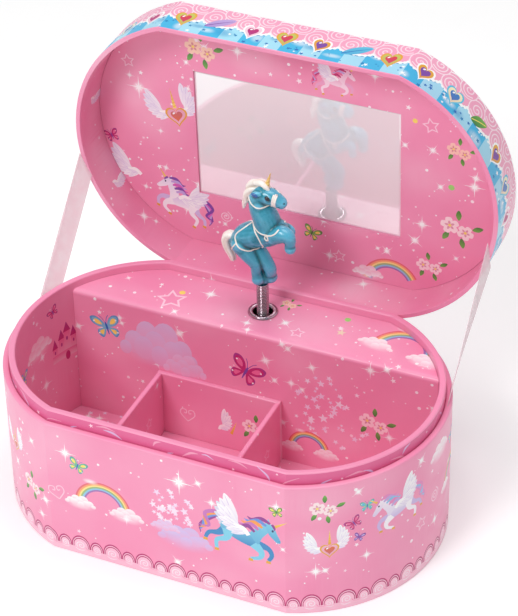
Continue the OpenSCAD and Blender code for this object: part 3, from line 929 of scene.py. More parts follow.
def painted(name, colour, deep, bright):
    """Thick glossy hobby paint, with painted shade in its creases and a painted highlight on what stands
    out.
    """
    f = Finish(name, Coat_Weight=0.5, Coat_Roughness=0.12, Specular_IOR_Level=0.5)
    shade_relief = f.attribute("relief").outputs["Fac"]
    crease_shade = f.node("ShaderNodeMapRange")
    raised = f.node("ShaderNodeMapRange")
    for n, a, b in ((crease_shade, 0.5, 0.05), (raised, 0.52, 0.9)):
        n.inputs["From Min"].default_value, n.inputs["From Max"].default_value = a, b
        f.link(shade_relief, n.inputs["Value"])
    # painted shade: the deep colour in hollows; painted highlight: the bright colour on raised parts
    tone = f.blend(crease_shade.outputs[0], colour, deep)
    tone = f.blend(raised.outputs[0], tone, bright)
    f.base(f.blend(f.spread(f.noise(260, 4), 0, 0.25), tone, mix(colour, bright, 0.6)))
    f.roughness(f.noise(300, 3), 0.22, 0.36)
    f.bump((f.noise(700, 3), 0.12, 0.0003))
    return f.mat


paper = printed_paper("printed_paper")
lid_paper = printed_paper("lid_paper")


# ------------------------------------------------------------------ mesh code

def finish_mesh(name, bm, material, sharp=None, scale=MM):
    """A bmesh becomes an object, in metres unless its scale says otherwise."""
    mesh = bpy.data.meshes.new(name)
    bmesh.ops.recalc_face_normals(bm, faces=bm.faces)
    bmesh.ops.scale(bm, vec=(scale,) * 3, verts=bm.verts)
    bm.to_mesh(mesh)
    bm.free()
    obj = dressed(name, mesh, material)
    if sharp:
        mesh.set_sharp_from_angle(angle=radians(sharp))
    return obj


def bridge(bm, rows):
    """Joins rings of as many points, each to the next."""
    for a, b in zip(rows, rows[1:]):
        n = len(a)
        for k in range(n):
            bm.faces.new((a[k], a[(k + 1) % n], b[(k + 1) % n], b[k]))


def add_tube(bm, path, radius, closed=False, flat=1.0):
    """A round tube along a path; flat squeezes it across."""
    path = [Vector(p) for p in path]
    n, sides = len(path), 8
    rings = []
    up = Vector((0, 0, 1))
    for i, p in enumerate(path):
        a = path[(i - 1) % n] if closed or i else path[0]
        b = path[(i + 1) % n] if closed or i < n - 1 else path[-1]
        along = (b - a).normalized()
        side = along.cross(up)
        if side.length < 0.05:
            side = along.cross(Vector((0, 1, 0)))
        side.normalize()
        if rings and side.dot(last) < 0:
            side.negate()
        last = side
        over = side.cross(along)
        rings.append([bm.verts.new(p + side * (radius * cos(2 * pi * k / sides))
                                   + over * (radius * flat * sin(2 * pi * k / sides)))
                      for k in range(sides)])
    for i in range(n if closed else n - 1):
        a, b = rings[i], rings[(i + 1) % n]
        for k in range(sides):
            bm.faces.new((a[k], b[k], b[(k + 1) % sides], a[(k + 1) % sides]))
    if not closed:
        bm.faces.new(rings[0])
        bm.faces.new(rings[-1][::-1])


def add_lathe(bm, profile, centre, segments, axis="Z"):
    """A closed profile of (radius, height) points turned about an axis through centre."""
    rings = []
    for k in range(segments):
        a = 2 * pi * k / segments
        ring_verts = []
        for r, h in profile:
            p = Vector((r * cos(a), r * sin(a), h))
            if axis == "Y":
                p = Vector((p.x, h, -p.y))
            ring_verts.append(bm.verts.new(p + Vector(centre)))
        rings.append(ring_verts)
    m = len(profile)
    for k in range(segments):
        a, b = rings[k], rings[(k + 1) % segments]
        for i in range(m):
            j = (i + 1) % m
            if profile[i][0] < 1e-6 and profile[j][0] < 1e-6:
                continue
            bm.faces.new((a[i], b[i], b[j], a[j]))
    bmesh.ops.remove_doubles(bm, verts=bm.verts, dist=1e-5)


def ball():
    """The points and triangles of a ball of radius 1."""
    bm = bmesh.new()
    bmesh.ops.create_icosphere(bm, subdivisions=3, radius=1.0)
    points = np.array([tuple(v.co) for v in bm.verts])
    faces = np.array([[v.index for v in f.verts] for f in bm.faces])
    bm.free()
    return points, faces


def fused(name, chains, material, passes, voxel=0.34, cut=None):
    """Tapering chains of balls, (x, y, z, radius), fused into one smooth skin, with nothing below
    cut. Coordinates count from the spindle at the platform's top."""
    points, faces = ball()
    balls = [one for chain in chains for one in smooth(chain, steps=6)]
    mesh = bpy.data.meshes.new(name)
    mesh.from_pydata(np.concatenate([points * r + (x, y, z) for x, y, z, r in balls]).tolist(), [],
                     np.concatenate([faces + len(points) * k for k in range(len(balls))]).tolist())
    obj = linked(name, mesh)
    remesh = obj.modifiers.new("skin", "REMESH")
    remesh.mode, remesh.voxel_size = "VOXEL", voxel
    soft = obj.modifiers.new("soft", "SMOOTH")
    soft.iterations, soft.factor = passes, 0.5
    bpy.context.view_layer.update()
    done = bpy.data.meshes.new_from_object(
        obj.evaluated_get(bpy.context.evaluated_depsgraph_get()))
    obj.modifiers.clear()
    obj.data = done
    if cut is not None:
        co = mesh_points(done)
        co[:, 2] = np.maximum(co[:, 2], cut)
        done.vertices.foreach_set("co", co.ravel())
    done.materials.clear()
    done.materials.append(material)
    done.shade_smooth()
    return obj


def mesh_points(mesh):
    co = np.empty(len(mesh.vertices) * 3)
    mesh.vertices.foreach_get("co", co)
    return co.reshape(-1, 3)


def mesh_normals(mesh):
    no = np.empty(len(mesh.vertices) * 3)
    mesh.vertex_normals.foreach_get("vector", no)
    return no.reshape(-1, 3)


def on_spindle(obj):
    """Scales a figurine piece to metres and puts it over the spindle."""
    obj.data.transform(Matrix.Scale(MM, 4) @ Matrix.Translation(SPINDLE))
    obj.data.update()


def relief(obj, reach=3):
    """Stores how far each point stands out from its surroundings, 0.5 being level."""
    mesh = obj.data
    n = len(mesh.vertices)
    co, no = mesh_points(mesh), mesh_normals(mesh)
    edges = np.empty(len(mesh.edges) * 2, dtype=int)
    mesh.edges.foreach_get("vertices", edges)
    a, b = edges.reshape(-1, 2).T
    count = np.bincount(a, minlength=n) + np.bincount(b, minlength=n)

    def around(values):
        total = np.zeros_like(values)
        np.add.at(total, a, values[b])
        np.add.at(total, b, values[a])
        return total / np.maximum(count, 1).reshape((-1,) + (1,) * (values.ndim - 1))

    soft = co
    for _ in range(reach * 4):
        soft = 0.5 * soft + 0.5 * around(soft)
    out = ((co - soft) * no).sum(axis=1)
    out = 0.5 * out + 0.5 * around(out)
    scale = np.percentile(np.abs(out), 92) or 1.0
    value = np.clip(0.5 + 0.5 * out / scale, 0, 1)
    layer = mesh.attributes.new("relief", "FLOAT", "POINT")
    layer.data.foreach_set("value", value)


# ------------------------------------------------------------------ box walls

ALL_ROUND = Oval(0)
INSIDE = Oval(LINER_IN)


PRINT_HEIGHT = 70


def print_outer_wall(section):
    ink = Ink()
    end = ALL_ROUND.length
    top = section.outer(WALL_TOP - EDGE_ROUND)
    glows(ink, 8, end - 8, 10, top, 60, 3)
    scatter(ink, 3, end - 3, 12, top - 1, 330, 4)

    # the prints' heights count from here
    low = WALL_TOP - PRINT_HEIGHT

    def front(x, z, **how):
        return ink.at(ALL_ROUND.at_front(x), section.outer(low + z), **how)

    def back(x, z, **how):
        return ink.at(ALL_ROUND.at_back(x), section.outer(low + z), **how)

    coat, shade = rgb(128, 208, 232), rgb(58, 140, 196)
    hair = (rgb(150, 66, 150), rgb(110, 150, 220), rgb(246, 160, 80), rgb(200, 120, 190))
    for sheet in (front, back):
        butterfly(sheet(-44, 50, size=1.0, turn=-20), rgb(110, 190, 150), YELLOW, DEEP_BLUE)
        cloudy_rainbow(sheet(-32, 29), 14.5)
        sparkle(sheet(-50, 56), 5)
        sparkle(sheet(8, 57), 6.5)
        star_cloud(sheet(4, 41, turn=-35), 24, 22, 42, 5)
        spiral_heart(sheet(-56, 31, turn=15), 4.2, mix(PINK, MIST, 0.7))
        cloud(sheet(10, 24), 24, rgb(206, 196, 240), 0.75)
        cloud(sheet(0, 28), 13, rgb(226, 214, 246), 0.6)
        sparkle(sheet(56, 58), 4)
        butterfly(sheet(56, 55, size=0.7, turn=15), LEAF, YELLOW, rgb(60, 110, 60))
        sparkle(sheet(-20, 26), 3.5)
        sparkle(sheet(24, 50), 3.5)
    pony(front(39, 35, size=1.5, turn=-16), coat, shade, hair)
    pony(back(38, 36, size=1.1, turn=6), rgb(244, 236, 250), rgb(196, 172, 226),
         (rgb(214, 130, 200), LILAC, rgb(150, 190, 236)))
    for where in SIDES:
        def side(degrees, z, **how):
            return ink.at(ALL_ROUND.at_end(where, degrees * where), section.outer(low + z), **how)

        flowers(side(-57, 57), 2.6)
        winged_heart(side(-55, 33), 7.5)
        butterfly(side(-46, 46, size=0.85, turn=30), MAGENTA, ROSE)
        butterfly(side(-44, 37, size=0.6, turn=-20), PURPLE, LILAC)
        butterfly(side(-41, 54, size=0.75), MINT, SKY, DEEP_BLUE)
        pony(side(-27, 44, size=1.2, turn=14, flip=-1), *PALE_COAT, CANDY_HAIR)
        spiral(side(-6, 35), 4, mix(PINK, MIST, 0.8))
        outline_star(side(-15, 26, turn=12), 4.2, mix(PINK, MIST, 0.8))
        cloud(side(-2, 58), 17)
        sparkle(side(-60, 21), 4.5)
        sparkle(side(-41, 25), 3.6)
        cloudy_rainbow(side(12, 31), 11)
        butterfly(side(12, 53, size=0.9, turn=20), SKY, YELLOW, DEEP_BLUE)
        star_cloud(side(30, 44), 20, 22, 40, 9)
        sparkle(side(31, 57), 5)
        winged_heart(side(48, 40), 7)
        flowers(side(60, 26), 2.6)
    lace(ink, 0, end, section.outer(0.4), 11, 36)
    return ink


def print_liner(section):
    """The inner face, the rim, and the narrow band of the outer face above the outer wall."""
    ink = Ink()
    end = INSIDE.length
    band, rim = section.outer(WALL_TOP - 2), section.outer(LINER_TOP - 0.6)
    # the whole outer face is printed a darker pink than the paper: painted shade on the band that shows
    # above the outer wall
    ink.at(0, 0).box(-1, -1, end + 1, rim, rgb(228, 104, 154))
    rng = random.Random(16)
    for k in range(70):
        pen = ink.at(end * (k + rng.random()) / 71, rng.uniform(band, rim - 1), turn=rng.uniform(-50, 50))
        if k % 3:
            pen.line([(-rng.uniform(2, 6), 0), (0, 0.8), (rng.uniform(2, 6), -0.4)],
                     [0.2, rng.uniform(0.5, 1.4), 0.2], mix(MIST, (PALE_PINK, ROSE, LILAC)[k % 3], 0.6))
        else:
            star(pen, rng.uniform(0.7, 1.6), MIST)
    low, high = section.inner(LINER_TOP - 1), section.inner(FLOOR_TOP)
    glows(ink, 8, end - 8, low + 6, high - 6, 50, 13)
    scatter(ink, 3, end - 3, low + 2, high - 2, 260, 14)

    def at(where, degrees, z, turn=0, **how):
        return ink.at(INSIDE.at_end(where, degrees), section.inner(z), turn=turn + 180, **how)

    def front(x, z, turn=0, **how):
        return ink.at(INSIDE.at_front(x), section.inner(z), turn=turn + 180, **how)

    butterfly(at(-1, 14, 69, size=0.8, turn=25), MAGENTA, ROSE)
    castle(at(-1, 21, 38), 17)
    cloudy_rainbow(at(1, -4, 58), 10)
    butterfly(at(-1, -14, 50, size=1.1, turn=-15), SKY, YELLOW, DEEP_BLUE)
    cloud(at(-1, 2, 55), 20)
    sparkle(at(-1, 6, 30), 5)
    outline_star(at(-1, -30, 30), 5)
    flowers(at(-1, -40, 50), 2.8)
    castle(at(1, 16, 38), 16)
    butterfly(at(1, 20, 62, size=0.9), MINT, YELLOW, PURPLE)
    cloud(at(1, -22, 46), 20)
    winged_heart(at(1, -38, 40), 7)
    for x in (-42, -14, 22, 48):
        star_cloud(front(x, 40), 16, 18, 18, int(x + 100))
    pony(front(0, 40, size=0.9), *PALE_COAT, (ROSE, LILAC, SKY))
    return ink


def print_lid_wall(section):
    """A striped blue band by the rim, pink lace over it with a beaded edge, charms along the
    edge, and the box's pink print on the inner face."""
    ink = Ink(SKY)
    end = ALL_ROUND.length
    top = section.length
    rng = random.Random(21)
    flat = ink.at(0, 0)
    for k in range(60):
        x, w = end * k / 60, end / 60
        flat.box(x, -1, x + w, 16, (rgb(70, 184, 230), rgb(168, 222, 244))[k % 2])
        ink.at(x + w * rng.random(), rng.uniform(2, 12)).glow(
            0, 0, rng.uniform(3, 7), rng.uniform(2, 4.5), (WHITE, rgb(40, 140, 200))[k % 2], 0.55)
    for _ in range(330):
        star(ink.at(rng.uniform(1.5, end - 1.5), rng.uniform(1, 12), turn=rng.uniform(0, 70)),
             rng.uniform(0.5, 1.5), (DEEP_BLUE, WHITE, rgb(30, 130, 190))[rng.randrange(3)])
    count = 35
    pitch = end / count
    edge_low, edge_high = 9.8, 14.2
    fill = rgb(247, 168, 198)

    def arch(x, extra, steps=16):
        drop = edge_high - edge_low + extra
        return [(x + pitch / 2 * cos(a), edge_high - drop * sin(a) ** 0.8)
                for a in (pi * k / steps for k in range(steps + 1))]

    for extra, colour in ((1.5, rgb(40, 130, 190)), (0.9, WHITE), (-0.5, fill)):
        for i in range(-1, count + 1):
            x = (i + 0.5) * pitch
            flat.fill([(x + pitch / 2, top + 1), *arch(x, extra), (x - pitch / 2, top + 1)], colour)
    flat.box(-1, edge_high, end + 1, top + 1, fill)
    for i in range(count):
        for x, z in arch((i + 0.5) * pitch, 0.3, 10)[:-1]:
            ink.at(x, z).dot(0, 0, 1.0, WHITE, n=9)
    for row in range(2):
        for i in range(count):
            x, z = (i + 0.5 * row + 0.25) * pitch, edge_high + 2.4 + 6.4 * row
            if 8 < x < end - 8:
                pen = ink.at(x, z, size=5.0, flip=1 - 2 * (i % 2), tall=1.1)
                pen.fill(ring(0, 0, 1.12, n=20), rgb(255, 222, 234))
                pen.fill(ring(0, 0, 1.0, n=20), fill)
                spiral(pen, 0.85, rgb(255, 222, 234), turns=1.9, width=0.13)
                pen.line([(-1.3, 0.9), (0, 1.45), (1.2, 1.05)], [0.05, 0.14, 0.05], WHITE)
    charms = ((MAGENTA, MIST, WHITE), (RED, mix(LEAF, YELLOW, 0.5), GOLD), (PURPLE, GOLD, WHITE),
              (rgb(60, 130, 200), rgb(250, 240, 200), SKY))
    for i in range(count):
        x, z = (i + 1) * pitch - pitch / 2, edge_low + 1.6
        if i % 4 < 3:
            core, rim_colour, outer = charms[(i + i // 4) % 4]
            heart(ink.at(x, z, turn=10 * (i % 3 - 1), tall=1.4), 8.2, core, rim_colour, outer)
        elif i % 12 < 9:
            feather(ink.at(x - 6, z - 3, turn=24, tall=1.5), 14, (SKY, LILAC)[(i // 4) % 2],
                    (DEEP_BLUE, PURPLE)[(i // 4) % 2])
        else:
            leaf = ink.at(x - 5, z - 2, turn=20, size=1.6, tall=1.5)
            leaf.blob([(0, 0), (2.6, 1.6), (6.4, 0.4), (3, -1.2)], LEAF, rgb(60, 130, 70), steps=5)
            leaf.line([(0.3, 0), (3, 0.3), (6, 0.4)], 0.22, YELLOW)
    inner = section.inner(LID_TOP - LID_T)
    flat.box(-1, inner, end + 1, top + 1, PINK)
    glows(ink, 8, end - 8, inner + 6, top - 6, 36, 22, 0.3)
    scatter(ink, 3, end - 3, inner + 3, top - 4, 110, 23)
    for degrees in (-50, -10, 30):
        for where in SIDES:
            wing(ink.at(ALL_ROUND.at_end(where, degrees), inner + 12, turn=200), 10)
    return ink


wall_section = Section(0, WALL_IN, 0, WALL_TOP)
liner_section = Section(WALL_IN, LINER_IN, LINER_LOW, LINER_TOP)
lid_section = Section(0, LID_T, LID_RIM, LID_TOP, r=0.8)

WALL_SCREWS = [(SPINDLE.x + dx, z, 1.5) for dx, z in ((-17, 13), (26, 13), (26, 50))]
back_holes = [(SPINDLE.x, ARBOR_Z, 5.0)] + WALL_SCREWS

outer_wall = card_wall("outer_wall_card", wall_section, ALL_ROUND, print_outer_wall(wall_section),
                       paper, back_holes)
inner_liner = card_wall("inner_liner_card", liner_section, INSIDE, print_liner(liner_section),
                        paper, back_holes)
lid_wall = card_wall("lid_wall_card", lid_section, ALL_ROUND, print_lid_wall(lid_section),
                     lid_paper, lid=True)
stands_for(outer_wall, "box", "outer_wall")
stands_for(inner_liner, "box", "inner_liner")
stands_for(lid_wall, "lid", "lid_wall")


# ------------------------------------------------------------------ platform, floor, dividers

def oval_loop(inset, step=3.0):
    """The oval's outline, anticlockwise from above, as a loop of points."""
    oval = Oval(inset)
    out = []
    for leg in range(5):
        count = ceil(oval.legs[leg] / step)
        (x, y), _ = oval.spot(leg, np.arange(count) / count)
        out += list(zip(x.tolist(), y.tolist() if y.ndim else [float(y)] * count))
    return out


def half_width(inset, y):
    """Half the oval's width at some depth."""
    oval = Oval(inset)
    return ARC_C + sqrt(oval.radius ** 2 - y ** 2)


def grid_lines(loop):
    """Lines across a board that keep its triangles short."""
    (x0, y0), (x1, y1) = np.min(loop, axis=0).tolist(), np.max(loop, axis=0).tolist()
    step = 12
    return ([[(x0 + k * step, y0), (x0 + k * step, y1)] for k in range(1, int((x1 - x0) / step))]
            + [[(x0, y0 + k * step), (x1, y0 + k * step)] for k in range(1, int((y1 - y0) / step))])


FIT = 0.15
ROUND = 2.6


def platform():
    """One bent board: the top, a rounded front edge and the front face. On its sheet, y runs
    as it does on the top and carries on past the edge, down the front."""
    quarter = pi / 2 * ROUND
    bend = PLATFORM_Y + ROUND
    foot = bend - quarter - (PLATFORM_TOP - ROUND - FLOOR_TOP)
    inset = LINER_IN + FIT
    back = DEPTH / 2 - inset
    crease = Oval(inset).crease
    loop = []
    for k in range(19):
        y = bend + (back - bend) * k / 18
        loop.append((half_width(inset, y) if k < 18 else crease, y))
    loop += [(-x, y) for x, y in loop[::-1]]
    side = half_width(inset, PLATFORM_Y)
    loop += [(-side, bend - quarter * 0.5), (-side, foot), (side, foot), (side, bend - quarter * 0.5)]
    hole = ring(SPINDLE.x, SPINDLE.y, NECK_R, n=32)

    def front_v(z):
        return bend - quarter - (PLATFORM_TOP - ROUND - z)

    ink = Ink()
    glows(ink, -95, 95, foot, back, 26, 31)
    scatter(ink, -96, 96, front_v(8), back - 2, 230, 32)
    wing(ink.at(-40, 62, turn=-20, flip=-1), 12)
    ink.at(-44.5, 47).dot(0, 0, 1.6, YELLOW)
    outline_star(ink.at(-47, 40, turn=20), 8)
    sparkle(ink.at(-31, 51), 5)
    outline_star(ink.at(20.5, 38, turn=10), 4.2)
    star(ink.at(40, 46, turn=5), 2.6, mix(GOLD, WHITE, 0.5))
    ink.at(39, 57).dot(0, 0, 1.6, rgb(160, 220, 120))
    flowers(ink.at(8, 58), 1.6, rgb(250, 214, 190))
    cloudy_rainbow(ink.at(72, 43, turn=-8), 16.5)
    sparkle(ink.at(-5, 36), 3.4)
    butterfly(ink.at(-78, front_v(58), size=1.7, turn=15), rgb(120, 190, 220), YELLOW, DEEP_BLUE)
    cloud(ink.at(-50, front_v(52), tall=1.5), 36, rgb(222, 204, 240), 0.8)
    cloud(ink.at(-36, front_v(44), tall=1.4), 20, rgb(232, 212, 242), 0.6)
    butterfly(ink.at(-3, front_v(52), size=1.9, turn=-25), MAGENTA, ROSE)
    star_cloud(ink.at(42, front_v(40), turn=20), 40, 44, 56, 33)
    flowers(ink.at(64, front_v(40)), 3)
    sparkle(ink.at(21, front_v(52)), 3.6)
    castle(ink.at(-22, front_v(10)), 18)
    cloudy_rainbow(ink.at(30, front_v(14)), 11)

    def place(points, middles, depth):
        x, v, middle = points[..., 0], points[..., 1], middles[..., 1]
        # 0 on the top, a quarter turn on the front, and between them on the rounded edge
        a = np.where(middle > bend, 0.0, np.where(middle > bend - quarter, (bend - v) / ROUND,
                                                  pi / 2))
        r = ROUND - depth
        y = bend - r * np.sin(a) + np.where(middle > bend, v - bend, 0.0)
        z = PLATFORM_TOP - ROUND + r * np.cos(a) + np.where(middle < bend - quarter,
                                                            v - bend + quarter, 0.0)
        return np.stack([x, y, z], -1), np.stack([0 * x, -np.sin(a), np.cos(a)], -1)

    lines = [[(-99, bend - quarter * k / 6), (99, bend - quarter * k / 6)] for k in range(7)]
    return board("platform_card", [loop, hole], ink, paper, place, BOARD - 0.1,
                 lines + grid_lines(loop))


def flat_place(z, way=1):
    """Lays a sheet level at height z, its print facing up (1) or down (-1)."""
    def place(points, middles, depth):
        x, y = points[..., 0], points[..., 1]
        return (np.stack([x, y, 0 * x + z - way * depth], -1),
                np.stack([0 * x, 0 * x, 0 * x + way], -1))
    return place


def floor():
    loop = oval_loop(LINER_IN + FIT)
    ink = Ink()
    glows(ink, -95, 95, -60, 28, 22, 41)
    scatter(ink, -92, 92, -58, 28, 210, 42)
    star_cloud(ink.at(-79, 12), 30, 40, 40, 43)
    pony(ink.at(-20, -8, turn=10), *PALE_COAT, (GOLD, LILAC, ROSE))
    flowers(ink.at(6, 16), 2.6)
    outline_star(ink.at(-36, 12, turn=12), 4.5)
    cloudy_rainbow(ink.at(48, -12), 12)
    butterfly(ink.at(-62, -22, turn=30), MINT, YELLOW, DEEP_BLUE)
    return board("floor_card", [loop], ink, paper, flat_place(FLOOR_TOP), FLOOR_TOP - FLOOR_LOW,
                 grid_lines(loop))


def divider(node, prints):
    """A straight strip of card, printed over both faces and its rounded top edge."""
    low, high = mm_box(node)
    along = 0 if high[0] - low[0] > high[1] - low[1] else 1
    length = high[along] - low[along] - 2 * FIT
    section = Section(0, high[1 - along] - low[1 - along], low[2], high[2], r=0.8)
    ink = Ink()
    rng = random.Random(int(low[0] * 7 + low[1]))
    glows(ink, 5, length - 5, 4, section.length - 8, 8, rng.randrange(99), 0.12)
    scatter(ink, 2, length - 2, 2, section.inner(low[2] + 2), 22, rng.randrange(99))
    prints(ink, section, length)

    def place(points, middles):
        inset, z, out, up = section.spot(points[..., 1], middles[..., 1])
        run, level = low[along] + FIT + points[..., 0], np.zeros_like(z)
        # inset counts from the face that looks towards -Y or +X
        if along == 0:
            return np.stack([run, low[1] + inset, z], -1), np.stack([level, out, up], -1)
        return np.stack([high[0] - inset, run, z], -1), np.stack([-out, level, up], -1)

    cuts = range(8, int(length), 8)
    corners, normals, paint = printed_skin(length, section, cuts, ink, place)
    for x, way_out in ((0.0, -1), (length, 1)):
        rim = np.array([(x, v) for v in section.v[:-1]])
        rim = place(rim, rim)[0]
        cap = np.stack([np.tile(rim.mean(axis=0), (len(rim), 1)), rim, np.roll(rim, -1, axis=0)], 1)
        corners.append(cap)
        normals.append(np.tile(np.eye(3)[along] * way_out, (len(cap), 3, 1)))
        paint.append(plain_paint(len(cap), PALE_PINK))
    return solid(node + "_card", corners, normals, paint, paper)


def side_divider_prints(ink, section, length):
    for face, turn in ((section.outer, 0), (section.inner, 180)):
        star_cloud(ink.at(length * 0.3, face(18)), 18, 12, 16, 51)
        flowers(ink.at(length * 0.62, face(17), turn=turn), 2.6)
        outline_star(ink.at(length * 0.82, face(20), turn=turn), 3.6)
        spiral(ink.at(length * 0.12, face(18)), 3.2)


def back_divider_prints(ink, section, length):
    for face, turn in ((section.outer, 0), (section.inner, 180)):
        spiral_heart(ink.at(length * 0.24, face(18), turn=turn), 4, MIST)
        wing(ink.at(length * 0.5, face(14), turn=turn + 10), 11)
        horn(ink.at(length * 0.6, face(13), turn=turn - 20), 9)
        flowers(ink.at(length * 0.8, face(20), turn=turn), 2.8)


stands_for(platform(), "box", "platform_top", "platform_front")
stands_for(floor(), "box", "floor_lining")
for node, prints in (("divider_left", side_divider_prints), ("divider_back", back_divider_prints),
                     ("divider_right", side_divider_prints)):
    stands_for(divider(node, prints), "box", node)


# ------------------------------------------------------------------ lid

MIRROR_X, MIRROR_Y, MIRROR_W, MIRROR_H = -0.5, 1.5, 107, 71
CORNERS = ((-1, -1), (1, -1), (1, 1), (-1, 1))


def lid_place(z, way):
    """A level sheet in the closed lid, turned with the lid."""
    level = flat_place(z, way)

    def place(points, middles, depth):
        at, normals = level(points, middles, depth)
        return opened(at), opened_way(normals)
    return place


def lid_inner_panel():
    loop = oval_loop(LID_T + FIT)
    w, h = MIRROR_W / 2, MIRROR_H / 2
    window = [(MIRROR_X + sx * w, MIRROR_Y + sy * h) for sx, sy in CORNERS]
    ink = Ink()
    glows(ink, -100, 100, -62, 62, 44, 61)
    scatter(ink, -101, 101, -60, 60, 330, 62)
    # y grows towards the hinge, so upright prints are turned half round and mirrored
    def at(x, y, turn=0, flip=1, size=1.0):
        return ink.at(x, y, turn=180 - turn, flip=-flip, size=size)

    flowers(at(-49.5, -46.5), 3.2, rgb(252, 214, 190))
    winged_heart(at(-64, -6, turn=12), 10)
    sparkle(at(-84, -18), 6)
    butterfly(at(-101, 14, turn=25, size=0.9), MAGENTA, ROSE)
    wing(at(-86, 34, turn=20, flip=-1), 17)
    pony(at(-64, 46, flip=-1, size=1.25, turn=-8), rgb(250, 246, 252), rgb(214, 196, 236),
         (PURPLE, LILAC, rgb(214, 100, 190)))
    pony(at(20, -44, size=0.85, turn=-6), rgb(252, 222, 236), rgb(240, 170, 206),
         (ROSE, MAGENTA, LILAC))
    outline_star(at(68, -31, turn=14), 4.6)
    at(60, -32).dot(0, 0, 1.3, YELLOW)
    flowers(at(82, -20), 2.4, rgb(252, 206, 190))
    at(78.5, 1).dot(0, 0, 1.6, rgb(160, 220, 120))
    flowers(at(82, 24), 3.4)
    sparkle(at(64, 26), 4.5)
    butterfly(at(6.5, 46, size=1.0, turn=-20), LEAF, YELLOW, rgb(60, 110, 60))
    outline_star(at(21, 56, turn=8), 3.8)
    rainbow(at(48, 66, turn=10), 15, start=15, end=165)
    cloud(at(36, 62), 14)
    flowers(at(68, 50, turn=10), 2.6)
    outline_star(at(-89, -32, turn=10), 4)
    sparkle(at(-30, -50), 4.5)
    sparkle(at(40, -52), 3.6)
    sparkle(at(90, -2), 5)
    star_cloud(at(-20, 52), 26, 14, 22, 63)
    star_cloud(at(84, -36), 14, 14, 12, 64)
    spiral(at(-40, 48), 3.4)
    return board("lid_inner_card", [loop, window], ink, lid_paper,
                 lid_place(LID_TOP - LID_T - LID_PANEL, -1), LID_PANEL - 0.1, grid_lines(loop))


def lid_top_panel():
    loop = oval_loop(LID_T + FIT)
    ink = Ink(PALE_PINK)
    ink.at(0, 0).fill(oval_loop(13, 2.0), MAGENTA)
    ink.at(0, 0).fill(oval_loop(13.6, 2.0), MIST)
    ink.at(0, 0).fill(oval_loop(14.8, 2.0), PINK)
    oval = Oval(13.2)
    beads = round(oval.length / 5)
    for k in range(beads):
        ink.at(*oval.walk(oval.length * (k + 0.5) / beads)).dot(0, 0, 1.5, WHITE)
    curls = Oval(7.8)
    for k in range(46):
        curl = ink.at(*curls.walk(curls.length * (k + 0.5) / 46), size=3.2, flip=1 - 2 * (k % 2))
        spiral(curl, 1.0, ROSE, turns=1.7, width=0.16)
    glows(ink, -80, 80, -44, 44, 26, 71)
    scatter(ink, -84, 84, -46, 46, 160, 72)
    cloudy_rainbow(ink.at(-38, 2), 26)
    pony(ink.at(26, -2, size=2.3, turn=6), *PALE_COAT, CANDY_HAIR)
    castle(ink.at(72, 8), 20)
    winged_heart(ink.at(-76, -14), 9)
    flowers(ink.at(-40, -34), 5)
    flowers(ink.at(60, -34), 4.4)
    butterfly(ink.at(-8, 38, size=1.5, turn=15), SKY, YELLOW, DEEP_BLUE)
    butterfly(ink.at(-70, 34, size=1.2, turn=-20), MAGENTA, ROSE)
    sparkle(ink.at(-8, -36), 7)
    sparkle(ink.at(50, 40), 6)
    outline_star(ink.at(-26, 42, turn=10), 5)
    outline_star(ink.at(10, -40, turn=24), 5)
    return board("lid_top_card", [loop], ink, lid_paper, lid_place(LID_TOP, 1), LID_T - 0.05,
                 grid_lines(loop))


def mirror_glass():
    """Silvered glass with ground, bevelled edges; its bright reflection is partly painted as a near-white
    base colour.
    """
    bm = bmesh.new()
    low = LID_TOP - LID_T - 1.2
    rings = []
    for inset, z in ((0.25, LID_TOP - LID_T - 0.02), (0.05, LID_TOP - LID_T - 0.2),
                     (0.05, low + 0.45), (1.1, low)):
        w, h = MIRROR_W / 2 - inset, MIRROR_H / 2 - inset
        rings.append([bm.verts.new(tuple(opened((MIRROR_X + sx * w, MIRROR_Y + sy * h, z))))
                      for sx, sy in CORNERS])
    bridge(bm, rings)
    bm.faces.new(rings[0][::-1])
    bm.faces.new(rings[-1])
    # only a fifth metallic, over a near-white base colour: the white is a painted reflection of the bright
    # surroundings
    f = Finish("silvered_glass_painted_reflection", Metallic=0.2, Coat_Weight=0.6, Coat_Roughness=0.02)
    f.mottle(16, 2, rgb(250, 252, 254), rgb(254, 255, 255))
    f.roughness(f.noise(60, 4), 0.015, 0.045)
    return finish_mesh("mirror_glass", bm, f.mat, sharp=20)


stands_for(lid_inner_panel(), "lid", "lid_inner_panel")
stands_for(lid_top_panel(), "lid", "lid_top_panel")
stands_for(mirror_glass(), "lid", "lid_mirror")


# ------------------------------------------------------------------ ribbons and hinge cloth

def cloth_finish(name, colour, pale, threads, **values):
    """Woven cloth: two crossing sets of threads, a soft sheen and uneven dye."""
    f = Finish(name, Sheen_Weight=0.35, Sheen_Roughness=0.4, **values)
    f.mottle(180, 3, colour, pale)
    f.roughness(f.noise(500, 2), 0.5, 0.7)
    bands = []
    for turn in ((0, 0, 0), (pi / 2, 0, 0)):
        w = f.node("ShaderNodeTexWave", Scale=threads, Distortion=1.2)
        w.bands_direction = "Z"
        f.link(f.stretched((1, 1, 1), turn), w.inputs["Vector"])
        bands.append((w.outputs["Fac"], 0.3, 0.0001))
    f.bump(*bands)
    return f.mat


